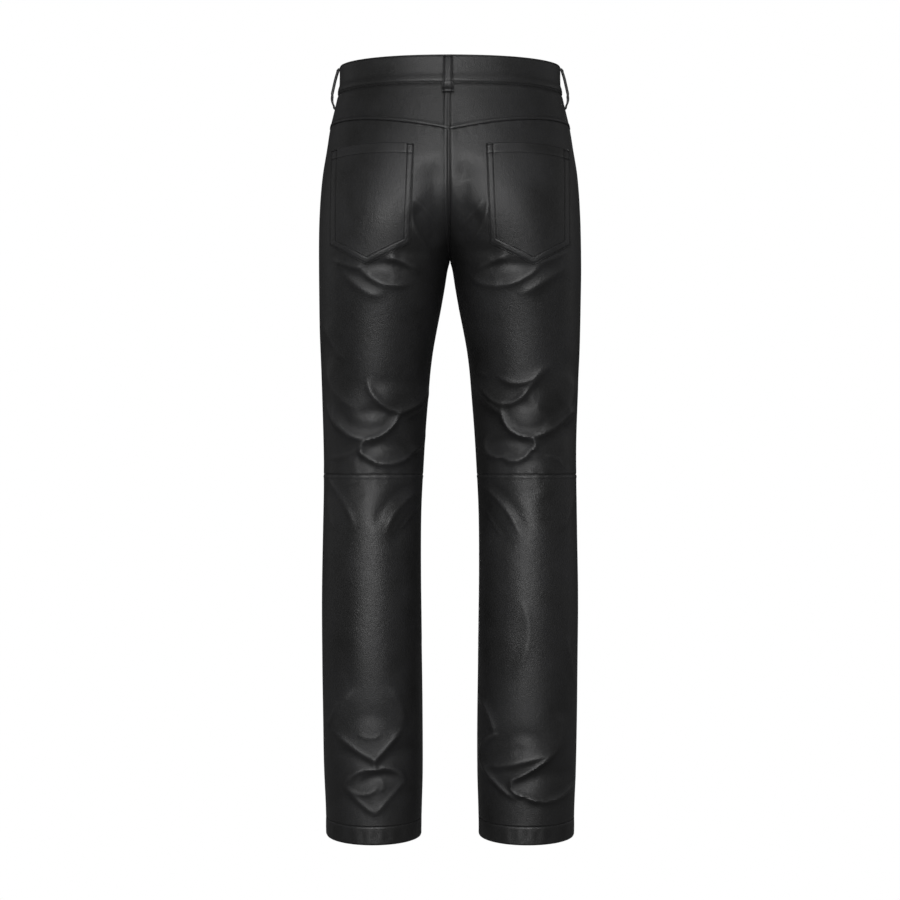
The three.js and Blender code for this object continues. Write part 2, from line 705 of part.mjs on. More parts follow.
const button = addPiece("waist_button", buttonGeometry(), gunmetal);
const buttonSeat = bandPoint(buttonX, buttonZ, bandProud + bandLeather + 2 * seamGap);
const facing = bandPoint(buttonX, buttonZ, bandProud + 2 * bandLeather).sub(bandPoint(buttonX, buttonZ, 0));
button.quaternion.setFromUnitVectors(new THREE.Vector3(0, 1, 0), facing.normalize());
button.position.copy(buttonSeat).addScaledVector(facing, buttonStandOff);

export default trousers;
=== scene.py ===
import math
import bpy
import numpy as np
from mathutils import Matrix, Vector


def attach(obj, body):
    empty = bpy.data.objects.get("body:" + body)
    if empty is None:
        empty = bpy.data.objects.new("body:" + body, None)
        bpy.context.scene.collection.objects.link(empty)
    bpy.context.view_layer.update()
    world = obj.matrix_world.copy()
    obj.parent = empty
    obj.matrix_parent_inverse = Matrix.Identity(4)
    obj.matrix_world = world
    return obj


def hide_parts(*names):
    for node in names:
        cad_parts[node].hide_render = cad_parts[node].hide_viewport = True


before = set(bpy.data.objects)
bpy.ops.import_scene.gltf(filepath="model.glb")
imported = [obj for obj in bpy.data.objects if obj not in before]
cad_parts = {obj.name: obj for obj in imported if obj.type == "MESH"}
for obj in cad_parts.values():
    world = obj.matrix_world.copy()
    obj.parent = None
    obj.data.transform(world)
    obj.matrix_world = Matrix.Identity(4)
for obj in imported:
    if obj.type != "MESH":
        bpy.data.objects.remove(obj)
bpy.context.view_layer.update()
scene = bpy.context.scene
mm = 0.001

# Camera, light and floor

view = {
    "distance": 2.985,  # metres behind the garment
    "height": -0.5353, "lens": 85.28, "sensor": 36.0,
    "floorDrop": 0.045,  # the floor lies this far under the hems
    "floorHalf": 14.0, "backgroundWhite": 1.0,
    "surround": 0.06,  # how bright the studio round the garment is
    "floorColour": "#5a5a5a", "floorRough": 0.9,
}

softboxes = {  # name: place, size and power; each faces the middle of the garment
    "keyBehind": ((0.25, 3.3, 0.25), (1.0, 1.8), 71),
    "highBehind": ((-0.2, 2.0, 2.6), (1.6, 1.0), 20),
    "lowBehind": ((-0.3, 3.2, -1.3), (0.8, 0.8), 6),
    "leftRear": ((3.0, 1.0, 0.2), (0.7, 2.0), 2.8),
    "rightRear": ((-3.0, 1.0, 0.2), (0.7, 2.0), 2.4),
    "keyFront": ((-0.3, -2.9, 1.8), (1.2, 1.4), 95),
    "highFront": ((0.2, -2.0, 2.6), (1.6, 1.0), 20),
    "lowFront": ((0.3, -3.2, -1.3), (0.8, 0.8), 6),
    "leftFront": ((3.0, -1.2, 0.2), (0.7, 2.0), 4),
    "rightFront": ((-3.0, -1.2, 0.2), (0.7, 2.0), 4),
}


def setNode(tree, node, settings=None, links=None):
    for key, value in (settings or {}).items():
        if hasattr(node, key) and key not in node.inputs:
            setattr(node, key, value)
        else:
            node.inputs[key].default_value = value
    for key, source in (links or {}).items():
        tree.links.new(source, node.inputs[key])
    return node


def addNode(tree, kind, settings=None, links=None):
    return setNode(tree, tree.nodes.new(kind), settings, links)


def addObject(name, data):
    made = bpy.data.objects.new(name, data)
    scene.collection.objects.link(made)
    return made


def linear(code):
    values = [int(code[k:k + 2], 16) / 255 for k in (1, 3, 5)]
    return tuple(v / 12.92 if v <= 0.04045 else ((v + 0.055) / 1.055) ** 2.4 for v in values) + (1.0,)


def newMaterial(name):
    material = bpy.data.materials.new(name)
    material.use_nodes = True
    tree = material.node_tree
    return material, tree, tree.nodes["Principled BSDF"]


def forCamera(tree, seen, unseen):
    # one shader for what the camera sees, another for the light that falls on the garment
    isSeen = addNode(tree, "ShaderNodeLightPath").outputs["Is Camera Ray"]
    return addNode(tree, "ShaderNodeMixShader", links={0: isSeen, 1: unseen, 2: seen}).outputs[0]


def buildStudio():
    scene.view_settings.view_transform = "Standard"
    cameraData = bpy.data.cameras.new("camera")
    cameraData.lens = view["lens"]
    cameraData.sensor_width = view["sensor"]
    camera = addObject("camera", cameraData)
    camera.location = (0, view["distance"], view["height"])
    camera.rotation_euler = (math.pi / 2, 0, math.pi)
    scene.camera = camera
    middle = Vector((0, 0, view["height"]))
    for name, (place, size, power) in softboxes.items():
        lightData = bpy.data.lights.new(name, "AREA")
        lightData.shape = "RECTANGLE"
        lightData.size, lightData.size_y = size
        lightData.energy = power
        light = addObject(name, lightData)
        light.location = place
        light.rotation_euler = (middle - light.location).to_track_quat("-Z", "Y").to_euler()
    world = bpy.data.worlds.new("studio")
    scene.world = world
    world.use_nodes = True
    tree = world.node_tree
    tree.nodes.clear()
    white, soft = [addNode(tree, "ShaderNodeBackground", {"Color": (1, 1, 1, 1), "Strength": view[key]})
                   for key in ("backgroundWhite", "surround")]
    both = forCamera(tree, white.outputs[0], soft.outputs[0])
    addNode(tree, "ShaderNodeOutputWorld", links={"Surface": both})
    half, floorZ = view["floorHalf"], form["hemZ"] * mm - view["floorDrop"]
    mesh = bpy.data.meshes.new("floor")
    mesh.from_pydata([(x * half, y * half, floorZ) for x, y in ((-1, -1), (1, -1), (1, 1), (-1, 1))],
                     [], [(0, 1, 2, 3)])
    floor = addObject("floor", mesh)
    paint, tree, shader = newMaterial("whiteSweep")  # looks white, but throws little light up at the leather
    setNode(tree, shader, {"Base Color": linear(view["floorColour"]), "Roughness": view["floorRough"]})
    glow = addNode(tree, "ShaderNodeEmission", {"Color": (1, 1, 1, 1), "Strength": view["backgroundWhite"]})
    both = forCamera(tree, glow.outputs[0], shader.outputs[0])
    setNode(tree, tree.nodes["Material Output"], links={"Surface": both})
    mesh.materials.append(paint)


# The garment's form, in millimetres: the same sections and folds as its solids

form = {
    "leather": 1.5, "seamGap": 0.3, "bandLeather": 2.6, "bandProud": 0.8, "patchLeather": 1.6,
    "bandBottom": -39.5, "crotchZ": -272.0, "hemZ": -1070.0,
    "hemDip": 5.0,  # the back of each hem is this much lower
    "hemTurn": 25.0, "hemLeather": 2.8, "kneeSeamZ": -569.0, "yokeSideZ": -87.4, "yokeCentreZ": -104.8,
    "yokeBend": 1.6, "yokeArch": 6.0, "crotchSlope": 0.28, "seatRise": 215.0, "flyRise": 130.0,
}


def table(columns, rows):
    names = columns.split()
    return [dict(zip(names, row)) for row in rows]


sections = table("z outer front side back square", [  # as the solids' sections
    (10, 154, -104, -4, 100, 2.15),
    (-24, 154, -106, -4, 103, 2.15),
    (-42, 157.5, -108, -4, 107, 2.15),
    (-60, 161.5, -109, -3, 112, 2.15),
    (-86, 167.5, -110, -2, 118, 2.2),
    (-115, 172, -110, -1, 124, 2.25),
    (-155, 178, -109, 0, 129, 2.3),
    (-212, 182, -105, 2, 130, 2.3),
    (-272, 183, -99, 4, 119, 2.2),
    (-339, 182.5, -95, 3, 104, 2.1),
    (-395, 181.3, -90, 1, 93, 2.05),
    (-451, 179, -84, -1, 83, 2.05),
    (-507, 177.3, -79, -2, 76, 2.05),
    (-569, 176.6, -75, -2, 72, 2.05),
    (-648, 177.7, -70, 1, 75, 2.05),
    (-732, 179, -66, 5, 79, 2.05),
    (-816, 178.3, -62, 8, 80, 2.05),
    (-900, 177, -58, 9, 78, 2.05),
    (-984, 175.4, -57, 9, 77, 2.05),
    (-1040, 173.2, -57, 9, 76, 2.05),
    (-1090, 172.8, -57, 9, 76, 2.05),
])

inseam = table("z x", [
    (-272, 0), (-283, 3.1), (-311, 7.6), (-339, 12.6), (-367, 18.2), (-395, 23.3), (-423, 27), (-451, 29.4),
    (-507, 33.8), (-563, 37.3), (-620, 40), (-700, 40.4), (-816, 39.1), (-900, 38.1), (-984, 38),
    (-1040, 39.6), (-1090, 39.8),
])


def curveThrough(rows, column):
    zs = np.array([row["z"] for row in rows], float)
    values = np.array([row[column] for row in rows], float)
    last = len(rows) - 1
    before = np.maximum(np.arange(last + 1) - 1, 0)
    after = np.minimum(np.arange(last + 1) + 1, last)
    slopes = (values[after] - values[before]) / (zs[after] - zs[before])

    def at(z):
        z = np.clip(z, zs[-1], zs[0])
        k = np.clip(np.searchsorted(-zs, -z, side="right") - 1, 0, last - 1)
        span = zs[k + 1] - zs[k]
        q = (z - zs[k]) / span
        rise = q * q * (3 - 2 * q)
        bend = span * q * (1 - q) * (slopes[k] * (1 - q) - slopes[k + 1] * q)
        return values[k] * (1 - rise) + values[k + 1] * rise + bend
    return at


outerAt, frontAt, sideAt, backAt, squareAt = [
    curveThrough(sections, column) for column in ("outer", "front", "side", "back", "square")]
inseamAt = curveThrough(inseam, "x")


def innerAt(face, z):
    rise = form["seatRise"] if face > 0 else form["flyRise"]
    q = np.clip((z - form["crotchZ"]) / rise, 0, 1)
    above = -form["crotchSlope"] * rise * q * (1 - q) ** 2 - outerAt(z) * q * q * (3 - 2 * q)
    return np.where(z <= form["crotchZ"], inseamAt(z), above)


def sectionPoint(face, angle, z):
    outer, side, n = outerAt(z), sideAt(z), squareAt(z)
    half = (outer - innerAt(face, z)) / 2
    depth = backAt(z) - side if face > 0 else side - frontAt(z)
    c, s = np.cos(angle), np.sin(angle)
    roundness = (np.abs(c) ** n + np.abs(s) ** n) ** (-1 / n)
    return np.stack([outer - half * (1 - c * roundness), side + face * depth * s * roundness, z], -1)


# Lengths and angles round each half section, once for every level, in millimetres from top to bottom
stripes = {"zStep": 1.0, "top": 14.0, "bottom": -1092.0, "samples": 120, "rounds": 40}


def stripeTable(face):
    z = np.arange(stripes["top"], stripes["bottom"], -stripes["zStep"])
    low, high = np.full(z.shape, math.pi / 2), np.full(z.shape, math.pi)
    for _ in range(stripes["rounds"]):
        middle = (low + high) / 2
        inside = sectionPoint(face, middle, z)[:, 0] > form["seamGap"] / 2
        low, high = np.where(inside, middle, low), np.where(inside, high, middle)
    fraction = np.linspace(0, 1, stripes["samples"] + 1)
    angle = low[:, None] * fraction
    points = sectionPoint(face, angle, np.broadcast_to(z[:, None], angle.shape))
    steps = np.linalg.norm(np.diff(points, axis=1), axis=2)
    lengths = np.concatenate([np.zeros((len(z), 1)), np.cumsum(steps, axis=1)], axis=1)
    byShare = np.array([np.interp(fraction * row[-1], row, turn) for row, turn in zip(lengths, angle)])
    return byShare, lengths[:, -1]


stripeTables = {1: stripeTable(1), -1: stripeTable(-1)}


def wholeLength(face, z):
    place = (stripes["top"] - np.asarray(z, float)) / stripes["zStep"]
    lengths = stripeTables[face][1]
    return np.interp(place, np.arange(len(lengths)), lengths)


def angleFor(face, share, z):
    angles, lengths = stripeTables[face]
    gap = form["seamGap"] / 2
    place = np.clip((stripes["top"] - z) / stripes["zStep"], 0, len(lengths) - 1.001)
    row = place.astype(int)
    q = place - row
    whole = lengths[row] * (1 - q) + lengths[row + 1] * q
    room = np.where(z < form["crotchZ"], whole - gap, whole)
    column = np.clip((gap + share * (room - gap)) / whole, 0, 1) * stripes["samples"]
    k = np.minimum(column.astype(int), stripes["samples"] - 1)
    t = column - k
    above = angles[row, k] * (1 - t) + angles[row, k + 1] * t
    below = angles[row + 1, k] * (1 - t) + angles[row + 1, k + 1] * t
    return above * (1 - q) + below * q


# Folds, each a ridge or, where its height is negative, a trough, as seen from behind or in front;
# x is positive on the wearer's left

foldColumns = "x z toX toZ bow width height"
backFolds = table(foldColumns, [
    # under the left pocket
    (118, -290, 54, -294, -7, 6.5, -3), (119, -293, 56, -311, 9, 5.5, 3),
    (85, -277, 44, -292, -3, 5.5, 2.7), (145, -293, 94, -327, 6, 8.5, 3),
    (163, -266, 121, -325, 5, 10.4, -1.8), (143, -290, 96, -316, -1, 7.8, -1.8),
    (73, -273, 34, -271, -5, 7.8, -2),
    # behind the left knee
    (113, -445, 68, -484, 8, 6.5, 4.2), (68, -484, 30, -449, 6, 6.5, 3.8),
    (68, -484, 117, -522, -9, 5.5, 4.6), (160, -481, 117, -521, 10, 6.5, 3.8),
    (117, -522, 118, -544, 5, 5.5, 3.4), (119, -543, 49, -537, 14, 6.5, 3.8),
    (49, -537, 34, -509, 3, 5.5, 3), (111, -449, 37, -444, -5, 10.4, -2.2),
    (127, -486, 70, -490, -6, 7.8, -2.5), (153, -480, 76, -496, 19, 7.8, -1.8),
    (116, -535, 54, -532, -7, 7.8, -2.5), (168, -380, 117, -460, 3, 19.5, -2),
    (46, -482, 79, -519, -6, 15.6, -1.8), (170, -418, 135, -476, 8, 9.5, 2.3),
    # below the left knee
    (51, -582, 102, -636, 8, 7.8, -2), (39, -617, 80, -662, 2, 7.8, -1.8),
    (46, -593, 86, -644, 6, 5.5, 1.9), (166, -577, 132, -636, -3, 5.5, 1.9),
    # above the left hem
    (135, -864, 157, -921, 5, 7.5, 2.7), (150, -914, 70, -912, -15, 11.7, -2),
    (156, -921, 103, -959, 3, 6.5, 3.8), (68, -918, 103, -959, -1, 6.5, 3.8),
    (81, -862, 66, -916, -6, 8.5, 1.9), (154, -947, 107, -965, -5, 9.1, -2.2),
    (99, -963, 43, -943, -5, 10.4, -2.2), (143, -993, 101, -972, -8, 5.5, 3),
    (101, -972, 62, -987, -8, 5.5, 3), (124, -992, 73, -981, -7, 5.9, -2.5),
    (142, -995, 103, -1031, 3, 5.5, 2.7), (62, -987, 102, -1031, -1, 6.5, 2.3),
    (151, -1006, 107, -1032, -2, 9.1, -1.5),
    # under the right pocket
    (-47, -291, -114, -290, -6, 6.5, -3), (-119, -290, -70, -313, -4, 5.5, 3),
    (-70, -313, -31, -302, -3, 6.5, 2.7), (-37, -291, -76, -276, -3, 5.5, 2.3),
    (-24, -266, -67, -273, -4, 7.8, -2), (-97, -309, -146, -287, -3, 7.8, -1.8),
    (-99, -323, -152, -288, 2, 8.5, 3), (-112, -332, -156, -293, 4, 10.4, -1.5),
    # behind the right knee
    (-67, -437, -125, -426, 12, 6.5, 3), (-38, -438, -100, -452, 4, 10.4, -2),
    (-43, -452, -110, -448, 22, 6.5, 3.4), (-110, -448, -137, -418, 0, 7.5, 2.3),
    (-30, -443, -70, -485, 4, 5.5, 3), (-70, -483, -113, -518, 11, 5.5, 4.6),
    (-113, -518, -169, -476, 6, 6.5, 4.2), (-72, -484, -114, -474, -6, 9.1, -2.2),
    (-131, -488, -156, -472, 4, 11.7, -1.8), (-85, -499, -133, -495, 9, 6.5, -1.2),
    (-110, -460, -168, -407, 1, 16.9, -2), (-169, -434, -153, -487, -6, 8.5, 2.3),
    (-48, -520, -72, -546, 9, 5.5, 3.4), (-72, -546, -110, -537, 8, 5.5, 3.4),
    (-110, -537, -113, -518, 5, 5.5, 3.4), (-51, -526, -109, -529, -7, 7.8, -2.5),
    (-120, -529, -168, -500, 4, 11.7, -2), (-34, -464, -74, -509, 1, 11.7, -2),
    # below the right knee
    (-55, -582, -104, -649, -7, 7.8, -2), (-41, -582, -94, -647, -6, 4.5, 1.9),
    (-43, -606, -84, -666, 4, 9.1, -1.8), (-136, -596, -140, -638, 5, 11.7, -1.2),
    # above the right hem
    (-41, -876, -61, -925, -3, 4.5, 3.4), (-61, -925, -43, -963, 6, 4.5, 4.2),
    (-43, -963, -87, -1011, 5, 4.5, 4.2), (-61, -943, -138, -938, -16, 11.7, -2.2),
    (-49, -971, -141, -949, 2, 7.5, 3.4), (-141, -950, -83, -987, -3, 4.5, 4.6),
    (-87, -992, -165, -977, -5, 10.4, -2.8), (-96, -1005, -170, -995, 15, 5, 3.8),
    (-56, -990, -88, -1012, -1, 7.8, -1.8), (-149, -898, -146, -947, -5, 8.5, 1.9),
    (-83, -987, -101, -1008, 7, 4, 3.8),
    # the seat
    (22, -149, 6, -233, 4, 16.9, -3.5), (48, -209, 10, -251, 4, 13, -4),
    (51, -207, 27, -265, 7, 4.5, 1.9), (-51, -199, -27, -255, -6, 4.5, 1.9),
    (-40, -220, -7, -244, -3, 11.7, -3.5), (-23, -147, -10, -224, 4, 15.6, -3.2),
])

frontFolds = table(foldColumns, [
    (14, -250, 92, -196, 6, 11, -3.5), (16, -266, 118, -238, 5, 12, 3.5),
    (-14, -248, -84, -206, -6, 11, -3), (-16, -268, -126, -232, -5, 12, 3.5),
    (24, -300, 96, -288, 5, 11, -3), (-24, -304, -88, -284, -5, 11, -3),
    (46, -520, 118, -506, 5, 12, 3.5), (70, -606, 146, -622, -6, 12, -3),
    (-52, -528, -132, -512, -5, 12, 3.5), (-62, -612, -150, -600, 5, 12, -3),
    (60, -918, 150, -936, 8, 12, 4), (52, -968, 138, -956, -6, 11, -4), (66, -1006, 144, -1014, 5, 11, 3),
    (-56, -930, -146, -914, -8, 12, 4), (-62, -962, -150, -980, 6, 11, -4),
    (-58, -1016, -130, -1004, -4, 11, 3),
])

# Finer creases, which the solids don't have
backCreases = table(foldColumns, [
    # under the left pocket
    (158, -277, 120, -291, 1, 4.5, 1.9), (106, -298, 80, -307, 0, 5.2, -0.8),
    (92, -429, 46, -425, -1, 10.4, -0.6),
    # behind the left knee
    (172, -362, 145, -413, 4, 6.5, 1.5), (127, -550, 105, -555, -1, 5.2, -1.2),
    (163, -545, 127, -534, 3, 3.5, 0.8), (169, -472, 149, -507, 3, 3.5, 1.5),
    (29, -452, 58, -492, -4, 3.5, 1.4), (100, -476, 65, -476, 2, 5.2, -0.8),
    (148, -532, 121, -524, 2, 6.5, -0.6),
    # below the left knee
    (136, -582, 123, -604, -2, 9.1, -0.8), (39, -603, 67, -644, -1, 3.5, 1.1),
    (169, -600, 160, -644, 2, 5.5, 0.9), (125, -585, 81, -588, -6, 7.8, -0.5),
    (59, -752, 41, -822, 2, 7.8, -1), (49, -767, 38, -803, 0, 3.5, 1.1),
    (152, -792, 137, -864, -1, 7.8, -0.9),
    # above the left hem
    (103, -957, 101, -974, 1, 3.5, 1.5), (136, -1001, 99, -998, 6, 3.5, 1.4),
    (95, -985, 95, -1002, -4, 3.5, 0.9), (95, -1021, 43, -1003, -4, 9.1, -0.9),
    (125, -923, 95, -925, 4, 3.5, 0.9), (168, -912, 152, -880, 1, 4.5, 1.1),
    # under the right pocket
    (-120, -284, -158, -266, 1, 4.5, 1.5), (-64, -303, -95, -297, 1, 5.2, -0.6),
    (-35, -422, -74, -433, 3, 9.1, -0.6),
    # behind the right knee
    (-92, -553, -137, -552, -4, 5.9, -1.1), (-131, -543, -155, -556, -4, 3.5, 0.8),
    (-36, -513, -51, -541, 3, 3.5, 1.4), (-170, -478, -158, -499, -2, 3.5, 1.4),
    (-28, -416, -49, -434, 2, 4.5, 1.1), (-56, -536, -95, -534, 4, 5.2, -0.6),
    (-120, -468, -104, -464, 4, 7.8, -0.5),
    # below the right knee
    (-41, -602, -71, -654, 2, 3.5, 1.1), (-170, -598, -155, -642, -2, 4.5, 1.1),
    (-80, -593, -120, -590, 4, 7.8, -0.5), (-94, -767, -75, -860, -5, 14.3, -1.2),
    (-98, -742, -97, -825, -10, 7.5, 1.2), (-162, -792, -171, -849, 0, 4.5, 1.4),
    (-54, -782, -45, -840, 3, 8.5, 1.1),
    # above the right hem
    (-55, -960, -101, -943, -5, 5.2, -0.8), (-51, -980, -91, -974, -1, 4.5, -0.6),
    (-109, -1025, -141, -1016, -3, 6.5, -0.6), (-40, -941, -51, -920, 1, 3.5, 0.9),
    # the seat
    (-44, -201, -10, -238, -1, 3.5, 1.1), (47, -199, 10, -239, -1, 3.5, 0.9),
    (-21, -252, -8, -264, -2, 7.8, -0.8), (-3, -192, -28, -172, -4, 5.5, 0.8),
    (162, -174, 169, -212, 0, 9.1, -0.5), (-160, -159, -169, -214, -1, 9.1, -0.5),
])

foldShape = {
    "beyond": 0.15,  # a fold runs past its two places by this share of its length
    "end": 0.37,  # and dies away over this share
    "edgeFade": 3.0, "centreFade": 24.0,
    "crest": 0.25,  # the smaller, the sharper a ridge
    "hollow": 0.9,  # and a trough
    "fall": 1.4,
    "reach": 60.0,  # a fold isn't worked out further up or down than this
}


def smooth(q):
    t = np.clip(q, 0, 1)
    return t * t * (3 - 2 * t)


def hump(distance, width):
    return np.exp(-(distance / width) ** 2)


def foldHeight(fold, x, z):
    alongX, alongZ = fold["toX"] - fold["x"], fold["toZ"] - fold["z"]
    length = math.hypot(alongX, alongZ)
    t = ((x - fold["x"]) * alongX + (z - fold["z"]) * alongZ) / length ** 2
    across = ((x - fold["x"]) * -alongZ + (z - fold["z"]) * alongX) / length
    off = (across - fold["bow"] * 4 * t * (1 - t)) / fold["width"]
    beyond, end = foldShape["beyond"], foldShape["end"]
    crest = foldShape["crest" if fold["height"] > 0 else "hollow"]
    ends = smooth((t + beyond) / end) * smooth((1 + beyond - t) / end)
    return fold["height"] * ends * np.exp(-foldShape["fall"] * (np.sqrt(off * off + crest * crest) - crest))


def foldsAt(side, face, angle, x, z):
    folds = backFolds + backCreases if face > 0 else frontFolds
    height = np.zeros_like(x)
    for fold in folds:
        middleZ, halfZ = (fold["z"] + fold["toZ"]) / 2, abs(fold["z"] - fold["toZ"]) / 2
        near = np.abs(z - middleZ) < halfZ + foldShape["reach"]
        if near.any():
            height[near] += foldHeight(fold, side * x[near], z[near])
    centre = np.where(z > form["crotchZ"], smooth((x - form["seamGap"]) / foldShape["centreFade"]), 1)
    return height * centre * np.minimum(1, foldShape["edgeFade"] * np.sin(angle))


# Slow unevenness of a skin: a few long waves, different on each leg

skinWaves = table("x z phase height", [
    (0.021, 0.013, 0.4, 0.35),
    (-0.034, 0.019, 2.1, 0.28),
    (0.012, 0.041, 4.4, 0.25),
    (0.055, -0.027, 1.3, 0.16),
    (-0.048, 0.063, 5.2, 0.12),
])
skinFade = {"edge": 4.0, "centre": 14.0}  # the waves die away towards the seams


def skinAt(side, face, x, z):
    height = np.zeros_like(x)
    for wave in skinWaves:
        turn = wave["x"] * x * side + wave["z"] * z + wave["phase"] + face + 2 * side
        height += wave["height"] * np.sin(turn)
    return height


def sizeOf(vectors):
    return np.linalg.norm(vectors, axis=-1, keepdims=True)


def surface(side, face, share, z, relief=0.0, out=0.0):
    share, z = np.broadcast_arrays(np.asarray(share, float), np.asarray(z, float))
    angle = angleFor(face, share, z)
    step, turn = 0.5, 0.005
    here = sectionPoint(face, angle, z)
    roundWay = sectionPoint(face, angle + turn, z) - sectionPoint(face, angle - turn, z)
    downWay = sectionPoint(face, angle, z - step) - sectionPoint(face, angle, z + step)
    perTurn = sizeOf(roundWay) / 2
    perDown = sizeOf(downWay) / 2
    roundWay, downWay = roundWay / (2 * perTurn), downWay / (2 * perDown)
    normal = np.cross(roundWay, downWay) * -face
    normal /= sizeOf(normal)

    def heightAt(turned, point):
        folds = foldsAt(side, face, turned, point[..., 0], point[..., 2])
        fade = np.minimum(1, skinFade["edge"] * np.sin(turned)) * smooth(point[..., 0] / skinFade["centre"])
        return folds + skinAt(side, face, point[..., 0], point[..., 2]) * fade

    height = heightAt(angle, here)
    slopeRound = (heightAt(angle + turn, here + roundWay * perTurn) - height) / perTurn[..., 0]
    slopeDown = (heightAt(angle, here + downWay * perDown) - height) / perDown[..., 0]
    tilted = normal - roundWay * slopeRound[..., None] - downWay * slopeDown[..., None]
    tilted /= sizeOf(tilted)
    point = here + normal * height[..., None] + tilted * (np.asarray(out) + np.asarray(relief))[..., None]
    point[..., 0] = np.maximum(point[..., 0], form["seamGap"] / 2) * side
    return point


# Mesh making


def around(grid):
    padded = np.pad(grid, ((1, 1), (1, 1), (0, 0)), mode="edge")
    return padded[:-2, 1:-1], padded[2:, 1:-1], padded[1:-1, :-2], padded[1:-1, 2:]


def paintedSheenShadeAt(outer, inner):
    # Painted highlight on ridges and painted shade in hollows, read from how sharply the surface bends: 1 on
    # a sharp ridge, -1 in a deep hollow. It raises the specular level on ridges and lowers it in hollows, and
    # also makes ridges a little less rough
    normal = outer - inner
    normal /= np.maximum(sizeOf(normal), 1e-6)
    beside = around(outer)
    span = sum(((side - outer) ** 2).sum(-1) for side in beside) / 4
    bend = 2 * ((outer - sum(beside) / 4) * normal).sum(-1) / np.maximum(span, 0.05)
    paintedSheenShade = np.tanh(bend / leatherLook["sheenShadeBend"])[..., None]
    for _ in range(2):  # softened over its neighbours
        paintedSheenShade = (paintedSheenShade * 2 + sum(around(paintedSheenShade))) / 6
    return paintedSheenShade[..., 0]


def wallMesh(outer, inner):
    rows, columns = outer.shape[:2]
    points = np.concatenate([outer.reshape(-1, 3), inner.reshape(-1, 3)]) * mm
    index = np.arange(2 * rows * columns).reshape(2, rows, columns)
    faces = []

    def quads(a, b, c, d):
        faces.append(np.stack([a.ravel(), b.ravel(), c.ravel(), d.ravel()], 1))

    top, under = index
    quads(top[:-1, :-1], top[:-1, 1:], top[1:, 1:], top[1:, :-1])
    quads(under[:-1, :-1], under[1:, :-1], under[1:, 1:], under[:-1, 1:])
    quads(top[:-1, 0], top[1:, 0], under[1:, 0], under[:-1, 0])
    quads(top[:-1, -1], under[:-1, -1], under[1:, -1], top[1:, -1])
    quads(top[0, :-1], under[0, :-1], under[0, 1:], top[0, 1:])
    quads(top[-1, :-1], top[-1, 1:], under[-1, 1:], under[-1, :-1])
    faces = np.concatenate(faces)
    a, b, c, d = (points[faces[:, k]] for k in range(4))
    volume = np.einsum("ij,ij->i", a, np.cross(b, c)).sum() + np.einsum("ij,ij->i", a, np.cross(c, d)).sum()
    # painted highlight on ridges and painted shade in hollows for the outer points, none for the inner ones
    paintedSheenShade = paintedSheenShadeAt(outer, inner).ravel()
    return points, faces if volume > 0 else faces[:, ::-1], np.concatenate([paintedSheenShade, np.zeros(len(paintedSheenShade))])


def meshObject(name, parts, material):
    points = np.concatenate([part[0] for part in parts])
    starts = np.cumsum([0] + [len(part[0]) for part in parts[:-1]])
    faces = np.concatenate([part[1] + start for part, start in zip(parts, starts)])
    mesh = bpy.data.meshes.new(name)
    mesh.from_pydata(points.tolist(), [], faces.tolist())
    mesh.shade_smooth()
    mesh.set_sharp_from_angle(angle=math.radians(35))
    mesh.materials.append(material)
    # per point painted highlight on ridges and painted shade in hollows, for the leather's specular level
    paintedSheenShade = np.concatenate([part[2] for part in parts])
    mesh.attributes.new("paintedSheenShade", "FLOAT", "POINT").data.foreach_set("value", paintedSheenShade)
    return addObject(name, mesh)


def cutOf(grid):
    # the flat width, length and area of a panel, along its outer points
    across = np.linalg.norm(np.diff(grid, axis=1), axis=2)
    down = np.linalg.norm(np.diff(grid, axis=0), axis=2)
    width, length = across.sum(1).max() * mm, down.sum(0).max() * mm
    first = np.cross(grid[:-1, 1:] - grid[:-1, :-1], grid[1:, :-1] - grid[:-1, :-1])
    second = np.cross(grid[1:, :-1] - grid[1:, 1:], grid[:-1, 1:] - grid[1:, 1:])
    area = (np.linalg.norm(first, axis=2) + np.linalg.norm(second, axis=2)).sum() / 2 * mm * mm
    return (width, length), min(area, 0.999 * width * length)


def settle(name, parts, material, grid):
    piece = meshObject(name, parts, material)
    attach(piece, "root")
    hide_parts(name)
    flat, area = cutOf(grid)  # the cut's flat size and area, the area held between 0.31 and 0.999 of its width by its length; nothing uses them further
    max(area, 0.31 * flat[0] * flat[1])


# Leather and the other materials

leatherLook = {
    "dark": "#1c1c1c",
    "light": "#252526",
    "darkAt": 0.35,  # where the mottling's noise is fully dark and fully light
    "lightAt": 0.65, "mottleMm": 85.0, "creaseMm": 9.0,
    "grainMm": 2.1,  # the real pebbles are about 0.8 mm, drawn coarser so that they show
    "poreMm": 0.9,
    "bumps": ((0.5, 0.0008), (0.35, 0.0003), (0.2, 0.00015)),  # strength and depth: creases, grain, pores
    "ior": 1.46, "roughLow": 0.42, "roughHigh": 0.54, "sheenShadeBend": 0.12,
    "paintedSheenStrength": 0.5,  # how much painted highlight a ridge gets in its specular level, and how much painted shade a hollow
    "sheenShadeRough": -0.05,
}


def noiseAt(tree, place, sizeMm, settings):
    settings = {"Scale": 1000 / sizeMm, **settings}
    return addNode(tree, "ShaderNodeTexNoise", settings, {"Vector": place}).outputs[0]


def spread(tree, value, settings):
    return addNode(tree, "ShaderNodeMapRange", settings, {"Value": value}).outputs[0]


